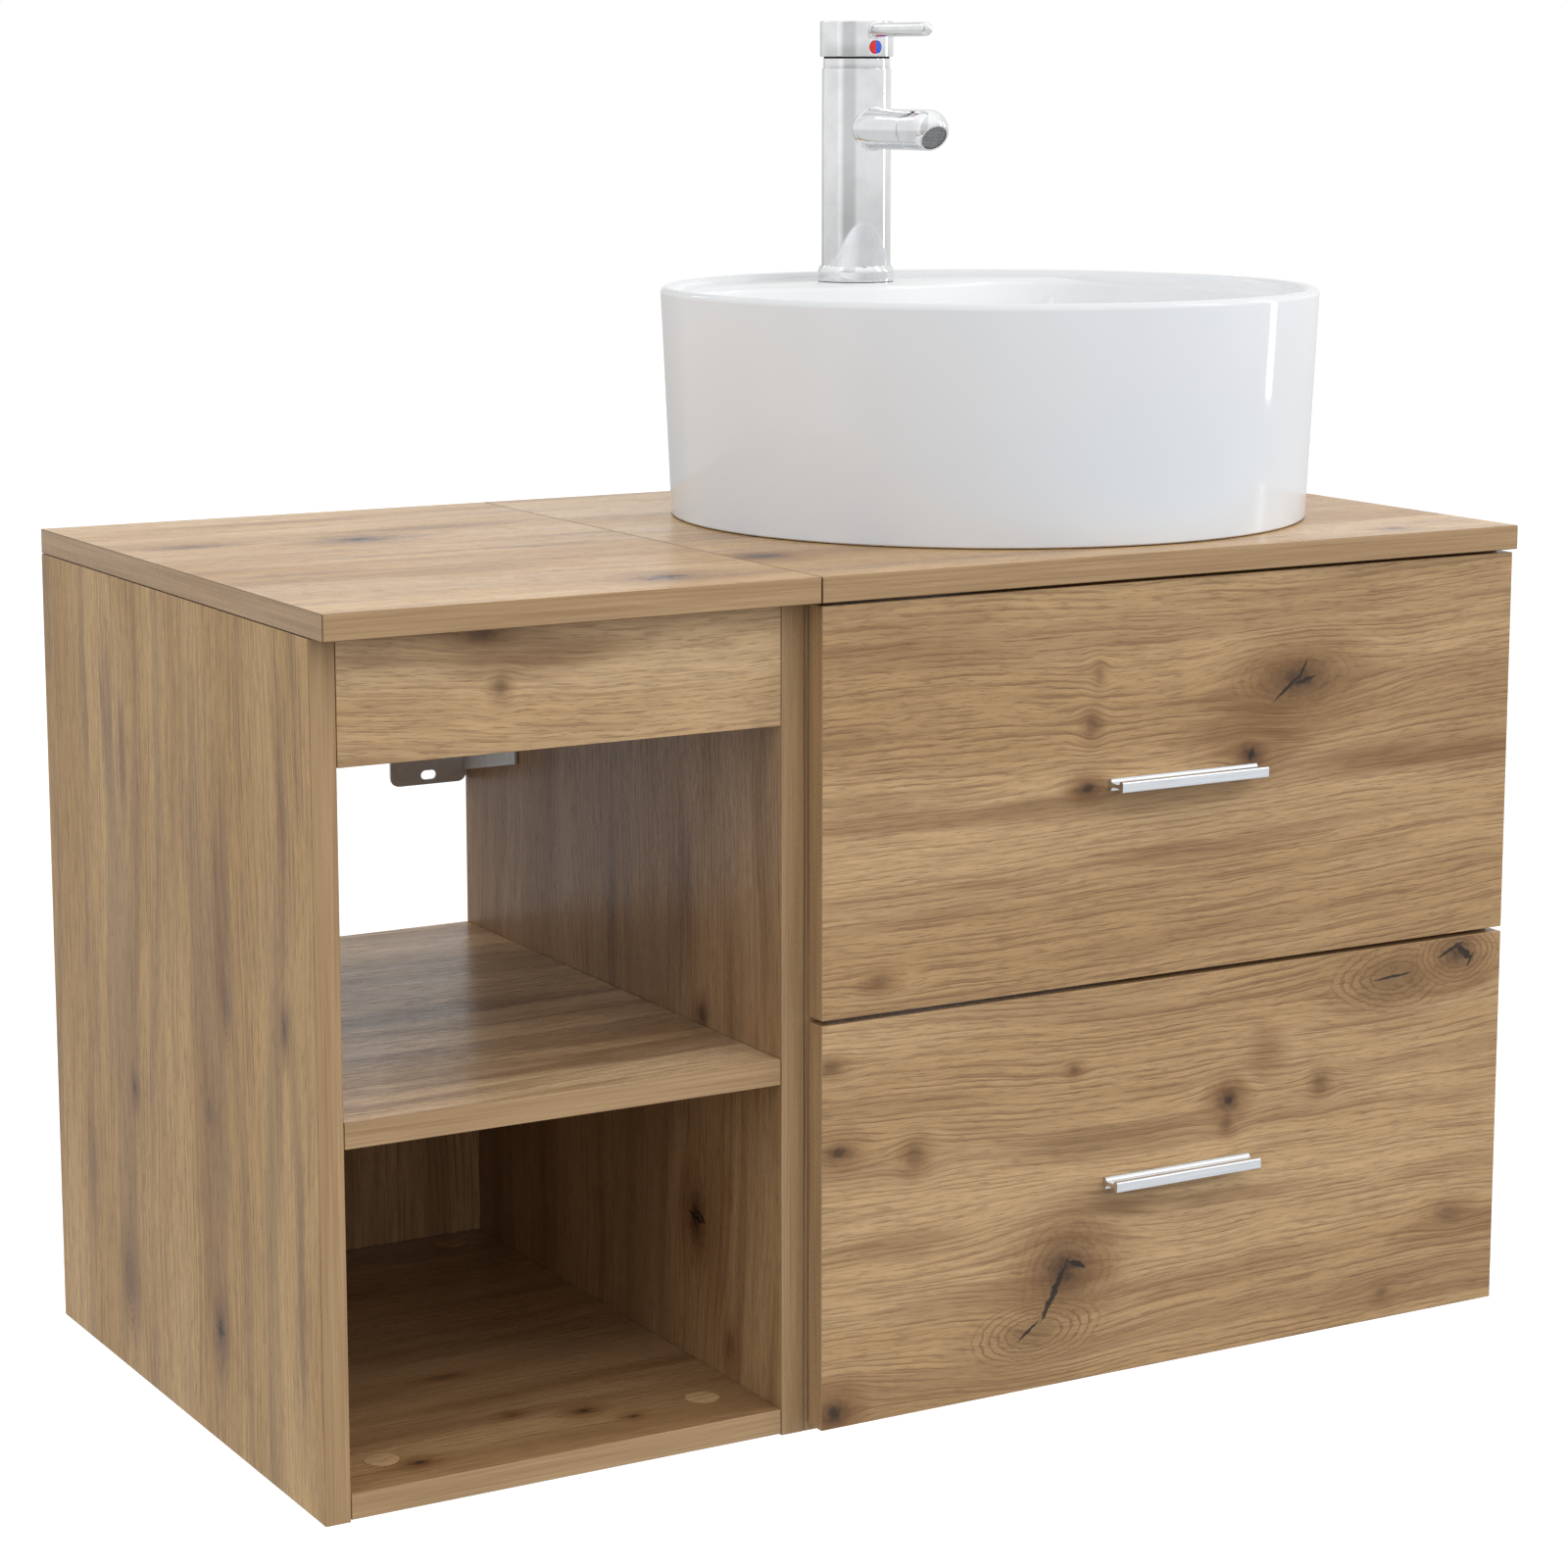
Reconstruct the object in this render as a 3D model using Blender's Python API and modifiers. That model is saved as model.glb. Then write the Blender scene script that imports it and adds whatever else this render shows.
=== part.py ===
"""A wall-hung bathroom vanity: an open shelf unit beside a unit with two drawers, and on it a round
ceramic vessel basin with a click waste and a single-lever tap.

Metres, +Z up. X runs along the wall and is 0 at the middle of the drawer unit. The wall is the plane
Y = 0 and the fronts face -Y. Z = 0 is the middle of the drawer unit's hanging rail.
"""

import math

import bmesh
import bpy
from mathutils import Matrix, Vector

GAP = 0.0003  # clearance between pieces that touch
SHARP_ANGLE = math.radians(35)
TINY = 0.00001

# Boards of both units
BOARD = 0.015
WORKTOP_Z = 0.050  # upper face of the worktops
UNDER_Z = WORKTOP_Z - BOARD
DEPTH = 0.4374
OVERHANG = 0.0193  # the worktops stand this far out past the carcass
CARCASS_FRONT_Y = OVERHANG - DEPTH
CARCASS_BASE_Z = WORKTOP_Z - 0.502
BOTTOM_LIFT = 0.0012  # the bottom boards sit this far above the sides' lower edges
RAIL_HEIGHT = 0.0703

# Open unit
OPEN_WIDTH = 0.300
SHELF_TOP_Z = WORKTOP_Z - 0.278

# Drawer unit
SINK_WIDTH = 0.500
SINK_LEFT = -SINK_WIDTH / 2
SINK_INNER = SINK_WIDTH / 2 - BOARD  # half the width between its sides

# Hanging brackets, bent from sheet
SHEET = 0.002
BRACKET_TOP_Z = WORKTOP_Z - 0.133
BRACKET_BASE_Z = WORKTOP_Z - 0.183
BRACKET_WIDTH = 0.054
BRACKET_REACH = 0.0794
BRACKET_CORNER = 0.006
BRACKET_LOWER_REAR = 0.007  # the side flange's lower edge, above the bracket's base
BRACKET_LOWER_FRONT = 0.023
SLOT_LENGTH = 0.011
SLOT_HEIGHT = 0.006
SLOT_LIFT = 0.0062

# Drawers
FRONT_WIDTH = 0.4968
FRONT_Y = -0.43465  # the drawer fronts' outer face
FRONT_Z = {
    "upper": (WORKTOP_Z - 0.2545, WORKTOP_Z - 0.017),
    "lower": (WORKTOP_Z - 0.4972, WORKTOP_Z - 0.2575),
}
BOX_BOARD = 0.012
BOX_LENGTH = 0.350
BOX_HEIGHT = 0.160
BOX_BASE_Z = {"upper": WORKTOP_Z - 0.235, "lower": WORKTOP_Z - 0.480}
BOX_OUTER = SINK_INNER - 0.013  # half the box's width, which leaves room for the runners
BOX_REAR_Y = FRONT_Y + BOARD + BOX_LENGTH
WELL_INNER = 0.080  # half the width of the space left for the trap
WELL_FRONT_Y = -0.265

# Telescopic runners: each member is a channel, given by how far its web and its lips stand from the
# carcass side and by half its height
RUNNER_LENGTH = 0.350
RUNNER_FRONT_Y = -0.416
RUNNER_SHEET = 0.0012
RUNNER_LIFT = 0.025  # middle of the runner above the drawer box's base
RUNNER_MEMBERS = {
    "fixed": (GAP, 0.0090, 0.0225),
    "middle": (0.0030, 0.0104, 0.0200),
    "inner": (0.0127, 0.0054, 0.0174),
}

# Bar handles: an H section with a wide rear flange and a rounded front lip
HANDLE_LENGTH = 0.106
HANDLE_REACH = 0.01405
HANDLE_REAR = (0.0020, 0.0035)  # thickness and half height of the rear flange
HANDLE_LIP = (0.0030, 0.00325)
HANDLE_WEB = 0.0012
HANDLE_ROUND = 0.0012

# Basin
BASIN_X = 0.0057
BASIN_Y = -0.2096
BASIN_SEGMENTS = 60
BASIN_HEIGHT = 0.1436
BASIN_RIM_RADIUS = 0.2079
BASIN_BASE_RADIUS = 0.2015
BASIN_BASE_ROUND = 0.0015
BASIN_LIP = 0.004  # rounding radius of the rim
BASIN_INNER_RADIUS = 0.1975  # bowl's mouth
BASIN_DECK_DROP = 0.0049  # the tap deck lies this far under the rim
BASIN_DECK_REACH = 0.128  # from the basin's axis back to the deck's front edge
BASIN_DECK_HALF_ANGLE = math.radians(43)
BASIN_DECK_THICKNESS = 0.012
BASIN_DECK_BLEND = 0.010  # the section is a deck's where the mouth is drawn in by this much
BASIN_DECK_SHOULDER = 0.0045  # rounding of the deck's front edge
BASIN_LEDGE_DROP = 0.006  # away from the deck, the inner wall starts this much lower than it
BASIN_WALL = 0.010
BASIN_WALL_LEAN = 0.007  # the inner wall leans inwards by this much
BASIN_FLOOR = 0.028
BASIN_FLOOR_FALL = 0.004
BASIN_FLOOR_SHARE = 0.80  # floor radius over mouth radius
BASIN_FLOOR_EDGE = 0.030  # the floor starts to rise this far in from its own radius
BASIN_HEEL = ((-0.008, 0.006), (0.004, 0.024))  # (out, up) from the floor's radius and height
BASIN_HEEL_WALL = 0.004  # the underside stands this far out from the floor's radius
BASIN_ROOF_RISE = 0.008  # roof of the cavity above the floor, and its inner edge's distance out
BASIN_BOSS_REACH = 0.020  # the flat underside ends this far in from the floor's radius
BASIN_WALL_TOP = 0.030  # the lean ends this far under the deck
BASIN_CAVITY_RADIUS = 0.1885
BASIN_BOSS_RADIUS = 0.038
LEDGE_INSET = 0.001
LIP_INSET = 0.002
MOUTH_LIFT = 0.004
MIN_ROOF = 0.002  # least width of the cavity's roof
FLANGE_MARGIN = 0.002
WASTE_HOLE_RADIUS = 0.0225
TAP_HOLE_RADIUS = 0.0175
HOSE_HOLE_RADIUS = 0.028

# Waste
WASTE_FLANGE_RADIUS = 0.0315
WASTE_FLANGE_HEIGHT = 0.0028
WASTE_TUBE_RADIUS = 0.0205
WASTE_BORE_RADIUS = 0.0170
WASTE_TAIL_Z = WORKTOP_Z - 0.070
WASTE_NUT_RADIUS = 0.0310
WASTE_NUT_HEIGHT = 0.010
SEAL_RADIUS = 0.030
SEAL_HEIGHT = 0.003
WASTE_BEVEL = 0.001
WASTE_COUNTERSINK = 0.003
PLUG_RISE = 0.0034
PLUG_EDGE = 0.001  # thickness of its rim
PLUG_DOME_SHARE = 0.45  # share of the rise that the dome falls by at its rim
PLUG_DOME_STEPS = 6
PLUG_INSET = 0.0005  # the rim stands this far in from the flange's
PLUG_SKIRT = 0.020
PLUG_PLAY = 0.0006  # between the skirt and the bore

# Tap, with heights above the worktop
TAP_Y = -0.0464
TAP_DECK = BASIN_HEIGHT - BASIN_DECK_DROP
TAP_RADIUS = 0.02305
TAP_BASE_RADIUS = 0.02535
TAP_BASE_HEIGHT = 0.0103
TAP_BASE_SLOPE = (0.0014, 0.003)  # its sloping shoulder, in and down
TAP_BORE_DEPTH = 0.030  # up into the body from the deck
TAP_SEGMENTS = 40
TAP_BODY_TOP = 0.2794
TAP_COLLAR_TOP = 0.2860
TAP_COLLAR_RADIUS = 0.02225
TAP_CAP_BASE = 0.2863
TAP_CAP_TOP = 0.3103
TAP_CAP_RADIUS = 0.02445
TAP_CAP_WALL = 0.00165
TAP_CAP_CROWN = 0.0128
TAP_CAP_BEVEL = 0.0008
TAP_PIVOT = 0.270  # height of the axis on which the lever lifts
TAP_STEM_RADIUS = 0.0032
TAP_STEM_DROP = 0.0048  # from the pivot to the stem's lower end
TAP_PIN_RADIUS = 0.0015
TAP_PIN_HOLE_RADIUS = 0.0019
TAP_PIN_HOLE_LENGTH = 0.020
PIN_SEGMENTS = 12
TAP_LEVER_HEIGHT = 0.3043
TAP_LEVER_RADIUS = 0.0046
TAP_LEVER_REACH = 0.0905
TAP_LEVER_ROOT = (0.0012, 0.004)  # how much wider the root is, and how long
LEVER_SEGMENTS = 24
TAP_SPOUT_HEIGHT = 0.240
TAP_SPOUT_RADIUS = 0.01325
TAP_SPOUT_REACH = 0.0900  # middle of the spout's round end, from the tap's axis
TAP_SEAM_REACH = 0.072
TAP_SEAM_DEPTH = 0.0004
TAP_OUTLET_RADIUS = 0.0100
TAP_OUTLET_ANGLE = math.radians(35)  # the outlet looks this far down from level
AERATOR_RADIUS = 0.0086
OUTLET_CUT = 0.020  # length of the bar that takes off the spout's end
AERATOR_DEPTH = 0.005
AERATOR_INSET = 0.0008  # its face lies this far in from the outlet's
CARTRIDGE_RADIUS = 0.0185
CARTRIDGE_NECK = 0.0170
CARTRIDGE_BORE = 0.0090
CARTRIDGE_FLOOR = 0.250  # floor of its bore
CARTRIDGE_BASE = 0.0134  # from that floor down to its underside
CARTRIDGE_INSET = 0.001  # its shoulder and its top lie this far inside the body and the collar
CARTRIDGE_PLAY = 0.0006
SEAT_PLAY = 0.0005
SPINDLE_PLAY = 0.0005
SPINDLE_RISE = 0.006  # top of the fork above the pivot
FORK_PLAY = 0.0004
FORK_DEPTH = 0.0068  # the fork's slot below the pivot
FORK_TOP = 0.010
PIN_INSET = 0.003  # the pin is this much shorter than the spindle is wide
INDICATOR_RADIUS = 0.0044
INDICATOR_HEIGHT = 0.2932
INDICATOR_THICKNESS = 0.0008
INDICATOR_DEPTH = 0.0005  # its middle lies this far inside the cap's face
RECESS_DEPTH = 0.0012
STUD_RADIUS = 0.004
STUD_Y = 0.009  # behind the tap's axis
STUD_BASE = 0.085
FIXING_NUT_RADIUS = 0.014
FIXING_NUT_HEIGHT = 0.0065

STUD_SEGMENTS = 16
ROUND = 32  # segments round a small turned piece


# Scene and materials


def clear_scene():
    for obj in list(bpy.data.objects):
        bpy.data.objects.remove(obj)


def new_collection(name):
    collection = bpy.data.collections.new(name)
    bpy.context.scene.collection.children.link(collection)
    return collection


def new_material(name, colour, roughness, metallic=0.0):
    material = bpy.data.materials.new(name)
    material.use_nodes = True
    shader = material.node_tree.nodes["Principled BSDF"]
    shader.inputs["Base Color"].default_value = (*colour, 1)
    shader.inputs["Roughness"].default_value = roughness
    shader.inputs["Metallic"].default_value = metallic
    return material


# Helpers that make one object each


def add_part(name, mesh, material, location=(0, 0, 0)):
    part = bpy.data.objects.new(name, mesh)
    part.location = location
    mesh.materials.clear()
    mesh.materials.append(material)
    PARTS.objects.link(part)
    return part


def add_board(name, x, y, z, material):
    """A board between the low and high value given on each axis."""
    low = Vector((x[0], y[0], z[0]))
    high = Vector((x[1], y[1], z[1]))
    cube = bmesh.new()
    bmesh.ops.create_cube(cube, size=1)
    bmesh.ops.scale(cube, vec=high - low, verts=cube.verts)
    mesh = bpy.data.meshes.new(name)
    cube.to_mesh(mesh)
    cube.free()
    return add_part(name, mesh, material, (low + high) / 2)


def turned_mesh(name, profile, segments=ROUND, closed=False):
    """A profile of (radius, height) points turned about Z. It runs down its outer side."""
    mesh = bpy.data.meshes.new(name)
    edges = [(i, i + 1) for i in range(len(profile) - 1)]
    if closed:
        edges.append((len(profile) - 1, 0))
    mesh.from_pydata([(radius, 0, height) for radius, height in profile], edges, [])
    guide = bpy.data.objects.new(name + "_profile", mesh)
    PARTS.objects.link(guide)
    screw = guide.modifiers.new("Turn", "SCREW")
    screw.steps = segments
    screw.render_steps = segments
    screw.use_merge_vertices = True
    screw.merge_threshold = TINY
    return converted(guide)


def converted(guide):
    """The mesh that a guide object evaluates to, with its ends welded. The guide is removed."""
    bpy.context.view_layer.update()
    graph = bpy.context.evaluated_depsgraph_get()
    mesh = bpy.data.meshes.new_from_object(guide.evaluated_get(graph))
    mesh.name = guide.name
    bpy.data.objects.remove(guide)
    shape = bmesh.new()
    shape.from_mesh(mesh)
    bmesh.ops.remove_doubles(shape, verts=shape.verts, dist=TINY)
    bmesh.ops.recalc_face_normals(shape, faces=shape.faces)
    shape.to_mesh(mesh)
    shape.free()
    return mesh


# World directions of an outline's own x, its own y and its thickness, by the axis that it faces
FACING = {
    "X": Matrix(((0, 0, 1, 0), (1, 0, 0, 0), (0, 1, 0, 0), (0, 0, 0, 1))),
    "Y": Matrix(((1, 0, 0, 0), (0, 0, -1, 0), (0, 1, 0, 0), (0, 0, 0, 1))),
    "Z": Matrix.Identity(4),
}


def plate_mesh(name, outlines, thickness, facing="Z"):
    """A flat plate centred on its own plane. The first outline is its edge, the others are holes."""
    curve = bpy.data.curves.new(name, "CURVE")
    curve.dimensions = "2D"
    curve.fill_mode = "BOTH"
    curve.extrude = thickness / 2
    for outline in outlines:
        spline = curve.splines.new("POLY")
        spline.points.add(len(outline) - 1)
        for point, (x, y) in zip(spline.points, outline):
            point.co = (x, y, 0, 1)
        spline.use_cyclic_u = True
    guide = bpy.data.objects.new(name, curve)
    PARTS.objects.link(guide)
    mesh = converted(guide)
    mesh.transform(FACING[facing])
    return mesh


def arc(centre, radius, start, end, steps):
    """Points on an arc between two angles in degrees."""
    points = []
    for i in range(steps + 1):
        angle = math.radians(start + (end - start) * i / steps)
        points.append((centre[0] + radius * math.cos(angle), centre[1] + radius * math.sin(angle)))
    return points


def circle(centre, radius, segments=ROUND):
    return arc(centre, radius, 0, 360, segments)[:-1]


def cutter(name, mesh, location=(0, 0, 0)):
    obj = bpy.data.objects.new(name, mesh)
    obj.location = location
    obj.hide_render = True
    obj.display_type = "WIRE"
    CUTTERS.objects.link(obj)
    return obj


def combine(part, other, operation="DIFFERENCE"):
    modifier = part.modifiers.new(other.name, "BOOLEAN")
    modifier.operation = operation
    modifier.solver = "EXACT"
    modifier.object = other


def cut_round_hole(part, centre, radius, length):
    """A vertical hole through a part, given in world coordinates."""
    mesh = plate_mesh(part.name + "_hole", [circle((0, 0), radius)], length)
    combine(part, cutter(part.name + "_hole_cutter", mesh, centre))


def shade(part):
    part.data.shade_smooth()
    part.data.set_sharp_from_angle(angle=SHARP_ANGLE)


def add_axis(name, location):
    """An empty at a joint's axis, which the pieces that move on it hang from."""
    axis = bpy.data.objects.new(name, None)
    axis.location = location
    PARTS.objects.link(axis)
    return axis


def attach(parts, axis):
    """Parents pieces to an empty and leaves them where they are."""
    bpy.context.view_layer.update()
    for part in parts:
        part.parent = axis
        part.matrix_parent_inverse = axis.matrix_world.inverted()


# Cabinet


def build_sides(unit, left, right):
    for side, x in (("left", left), ("right", right - BOARD)):
        add_board(
            f"{unit}_side_{side}",
            (x, x + BOARD),
            (CARCASS_FRONT_Y, 0),
            (CARCASS_BASE_Z, UNDER_Z - GAP),
            OAK,
        )


def build_open_unit():
    left = SINK_LEFT - OPEN_WIDTH
    right = SINK_LEFT - GAP
    inner = (left + BOARD + GAP, right - BOARD - GAP)
    rail_z = (UNDER_Z - RAIL_HEIGHT, UNDER_Z - GAP)
    base_z = CARCASS_BASE_Z + BOTTOM_LIFT
    add_board("open_top", (left, right), (-DEPTH, 0), (UNDER_Z, WORKTOP_Z), OAK)
    build_sides("open", left, right)
    add_board("open_fascia", inner, (CARCASS_FRONT_Y, CARCASS_FRONT_Y + BOARD), rail_z, OAK)
    add_board("open_back_rail", inner, (-BOARD, 0), rail_z, OAK)
    add_board("open_shelf", inner, (CARCASS_FRONT_Y, 0), (SHELF_TOP_Z - BOARD, SHELF_TOP_Z), OAK)
    add_board("open_bottom", inner, (CARCASS_FRONT_Y, 0), (base_z, base_z + BOARD), OAK)
    back_z = (base_z + BOARD + GAP, SHELF_TOP_Z - BOARD - GAP)
    add_board("open_back_panel", inner, (-BOARD, 0), back_z, OAK)
    add_bracket("open_bracket_left", left + BOARD + GAP, 1)
    add_bracket("open_bracket_right", right - BOARD - GAP, -1)


def build_sink_unit():
    inner = (GAP - SINK_INNER, SINK_INNER - GAP)
    base_z = CARCASS_BASE_Z + BOTTOM_LIFT
    top = add_board("sink_top", (SINK_LEFT, -SINK_LEFT), (-DEPTH, 0), (UNDER_Z, WORKTOP_Z), OAK)
    cut_worktop_holes(top)
    build_sides("sink", SINK_LEFT, -SINK_LEFT)
    add_board("sink_back_rail", inner, (-BOARD, 0), (UNDER_Z - RAIL_HEIGHT, UNDER_Z - GAP), OAK)
    add_board("sink_bottom", inner, (CARCASS_FRONT_Y, 0), (base_z, base_z + BOARD), OAK)
    add_bracket("sink_bracket_left", inner[0], 1)
    add_bracket("sink_bracket_right", inner[1], -1)


def cut_worktop_holes(top):
    """One hole for the waste and, under the tap, one for its hoses."""
    middle_z = WORKTOP_Z - BOARD / 2
    for name, y, radius in (
        ("waste", BASIN_Y, WASTE_HOLE_RADIUS),
        ("hose", TAP_Y, HOSE_HOLE_RADIUS),
    ):
        mesh = plate_mesh(name + "_hole", [circle((0, 0), radius)], 2 * BOARD)
        combine(top, cutter(name + "_hole_cutter", mesh, (BASIN_X, y, middle_z)))


def add_bracket(name, side_x, inward):
    """An angle of bent sheet in a rear corner. inward is the X direction into the carcass."""
    height = BRACKET_TOP_Z - BRACKET_BASE_Z
    corner = BRACKET_CORNER
    wall = [(0, height), (BRACKET_WIDTH, height)]
    wall += arc((BRACKET_WIDTH - corner, corner), corner, 0, -90, 5)
    wall += arc((corner, corner), corner, -90, -180, 5)
    half = (SLOT_LENGTH - SLOT_HEIGHT) / 2
    middle = BRACKET_WIDTH / 2
    slot = arc((middle + half, SLOT_LIFT), SLOT_HEIGHT / 2, -90, 90, 6)
    slot += arc((middle - half, SLOT_LIFT), SLOT_HEIGHT / 2, 90, 270, 6)
    outlines = [[(inward * x, z) for x, z in outline] for outline in (wall, slot)]
    mesh = plate_mesh(name, outlines, SHEET, "Y")
    bracket = add_part(name, mesh, ZINC, (side_x, -SHEET / 2, BRACKET_BASE_Z))
    flange = [
        (0, height),
        (0, BRACKET_LOWER_REAR),
        (-BRACKET_REACH, BRACKET_LOWER_FRONT),
        (-BRACKET_REACH, height),
    ]
    mesh = plate_mesh(name + "_flange", [flange], SHEET, "X")
    middle_x = side_x + inward * SHEET / 2
    combine(bracket, cutter(name + "_flange_body", mesh, (middle_x, 0, BRACKET_BASE_Z)), "UNION")


# Drawers


def build_drawer(level):
    """Front, box and handle. The upper box is built round a well that leaves room for the trap."""
    front_z = FRONT_Z[level]
    half = FRONT_WIDTH / 2
    name = f"{level}_drawer"
    front = add_board(f"{name}_front", (-half, half), (FRONT_Y, FRONT_Y + BOARD), front_z, OAK)
    parts = [front, add_handle(level), *build_box(level)]
    parts += [add_runner_member(level, side, "inner") for side in ("left", "right")]
    attach(parts, add_axis(f"{name}_slide", front.location))
    for side in ("left", "right"):
        add_runner_member(level, side, "fixed")
        member = add_runner_member(level, side, "middle")
        attach([member], add_axis(f"{member.name}_slide", member.location))


def build_box(level):
    name = f"{level}_drawer"
    base_z = BOX_BASE_Z[level]
    y = (FRONT_Y + BOARD + GAP, BOX_REAR_Y)
    walls_z = (base_z + BOX_BOARD + GAP, base_z + BOX_HEIGHT)
    inner = BOX_OUTER - BOX_BOARD - GAP
    back_y = (BOX_REAR_Y - BOX_BOARD, BOX_REAR_Y)
    parts = []
    for side, x in (("left", -BOX_OUTER), ("right", BOX_OUTER - BOX_BOARD)):
        z = (base_z, base_z + BOX_HEIGHT)
        parts.append(add_board(f"{name}_side_{side}", (x, x + BOX_BOARD), y, z, OAK))
    if level == "lower":
        parts.append(add_board(f"{name}_back", (-inner, inner), back_y, walls_z, OAK))
        bottom_z = (base_z, base_z + BOX_BOARD)
        parts.append(add_board(f"{name}_bottom", (-inner, inner), y, bottom_z, OAK))
        return parts
    well = WELL_INNER + BOX_BOARD + GAP
    parts.append(
        add_board(f"{name}_back_left", (-inner, BASIN_X - well), back_y, walls_z, OAK)
    )
    parts.append(
        add_board(f"{name}_back_right", (BASIN_X + well, inner), back_y, walls_z, OAK)
    )
    bottom = notched(-inner, inner, y[0], WELL_INNER, WELL_FRONT_Y)
    mesh = plate_mesh(f"{name}_bottom", [bottom], BOX_BOARD)
    parts.append(add_part(f"{name}_bottom", mesh, OAK, (0, 0, base_z + BOX_BOARD / 2)))
    outer = WELL_INNER + BOX_BOARD
    wall = notched(
        BASIN_X - outer, BASIN_X + outer, WELL_FRONT_Y - BOX_BOARD, WELL_INNER, WELL_FRONT_Y
    )
    mesh = plate_mesh(f"{name}_trap_well", [wall], walls_z[1] - walls_z[0])
    parts.append(add_part(f"{name}_trap_well", mesh, OAK, (0, 0, sum(walls_z) / 2)))
    return parts


def notched(left, right, front_y, half_notch, notch_y):
    """A U outline, open at the rear, round a notch on the basin's middle."""
    return [
        (left, front_y),
        (right, front_y),
        (right, BOX_REAR_Y),
        (BASIN_X + half_notch, BOX_REAR_Y),
        (BASIN_X + half_notch, notch_y),
        (BASIN_X - half_notch, notch_y),
        (BASIN_X - half_notch, BOX_REAR_Y),
        (left, BOX_REAR_Y),
    ]


def add_runner_member(level, side, member):
    web, lip, half = RUNNER_MEMBERS[member]
    inside = web + math.copysign(RUNNER_SHEET, lip - web)
    edge = half - RUNNER_SHEET
    outline = [(web, half), (lip, half), (lip, edge), (inside, edge)]
    outline += [(x, -z) for x, z in reversed(outline)]
    sign = -1 if side == "left" else 1
    name = f"{level}_runner_{side}_{member}"
    outline = [(sign * (SINK_INNER - x), z) for x, z in outline]
    mesh = plate_mesh(name, [outline], RUNNER_LENGTH, "Y")
    location = (0, RUNNER_FRONT_Y + RUNNER_LENGTH / 2, BOX_BASE_Z[level] + RUNNER_LIFT)
    return add_part(name, mesh, ZINC, location)


def handle_outline():
    """Half of the H section, mirrored: distance out from the drawer front, and height."""
    rear, rear_half = HANDLE_REAR
    lip, lip_half = HANDLE_LIP
    front = HANDLE_REACH
    fillet = rear_half - HANDLE_WEB
    lip_fillet = lip_half - HANDLE_WEB
    upper = [(GAP, rear_half), (rear, rear_half)]
    upper += arc((rear + fillet, rear_half), fillet, 180, 270, 5)[1:]
    upper += arc((front - lip - lip_fillet, lip_half), lip_fillet, 270, 360, 5)
    upper += arc((front - HANDLE_ROUND, lip_half - HANDLE_ROUND), HANDLE_ROUND, 90, 0, 4)
    return upper + [(y, -z) for y, z in reversed(upper)]


def add_handle(level):
    outline = [(-y, z) for y, z in handle_outline()]
    mesh = plate_mesh(f"{level}_handle", [outline], HANDLE_LENGTH, "X")
    handle = add_part(f"{level}_handle", mesh, ALUMINIUM, (0, FRONT_Y, sum(FRONT_Z[level]) / 2))
    shade(handle)
    return handle


# Basin


def mouth_radius(angle):
    """Radius of the bowl's mouth at an angle from the rear, drawn in where the tap deck is."""
    share = (angle / BASIN_DECK_HALF_ANGLE) ** 2
    deck = BASIN_DECK_REACH + (BASIN_INNER_RADIUS - BASIN_DECK_REACH) * share
    return (deck**-16 + BASIN_INNER_RADIUS**-16) ** (-1 / 16)


def basin_section(angle):
    """The wall's section at one angle from the rear, as (radius, height) points: down the outside
    from the rim, under the bowl, and back up the inside."""
    mouth = mouth_radius(angle)
    deck_share = min((BASIN_INNER_RADIUS - mouth) / BASIN_DECK_BLEND, 1)
    deck = BASIN_HEIGHT - BASIN_DECK_DROP
    floor = mouth * BASIN_FLOOR_SHARE
    lip = BASIN_LIP
    lip_z = BASIN_HEIGHT - lip
    outer = arc((BASIN_RIM_RADIUS - lip, lip_z), lip, 90, 0, 3)
    outer += [
        (BASIN_BASE_RADIUS, BASIN_BASE_ROUND),
        (BASIN_BASE_RADIUS - BASIN_BASE_ROUND, 0),
        (BASIN_CAVITY_RADIUS, 0),
    ]
    inner_lip_x = BASIN_INNER_RADIUS + LIP_INSET
    inner_lip = arc((inner_lip_x + lip, lip_z), lip, 180, 90, 3)[1:]
    underside = basin_underside(mouth, floor, deck, deck_share)
    return outer + underside + basin_inside(mouth, floor, deck, deck_share) + inner_lip


def basin_underside(mouth, floor, deck, deck_share):
    low_roof = BASIN_FLOOR + BASIN_ROOF_RISE
    roof = low_roof + (deck - BASIN_DECK_THICKNESS - low_roof) * deck_share
    under = BASIN_FLOOR - BASIN_FLOOR_FALL - BASIN_WALL
    low_edge = floor + BASIN_ROOF_RISE
    deck_edge = mouth + BASIN_WALL + BASIN_HEEL_WALL
    roof_inner = low_edge + (deck_edge - low_edge) * deck_share
    return [
        (BASIN_CAVITY_RADIUS, roof),
        (min(roof_inner, BASIN_CAVITY_RADIUS - MIN_ROOF), roof),
        (floor + BASIN_HEEL_WALL, under + BASIN_WALL),
        (floor - BASIN_BOSS_REACH, under),
        (BASIN_BOSS_RADIUS, under),
        (BASIN_BOSS_RADIUS, 0),
        (WASTE_HOLE_RADIUS, 0),
    ]


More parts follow.
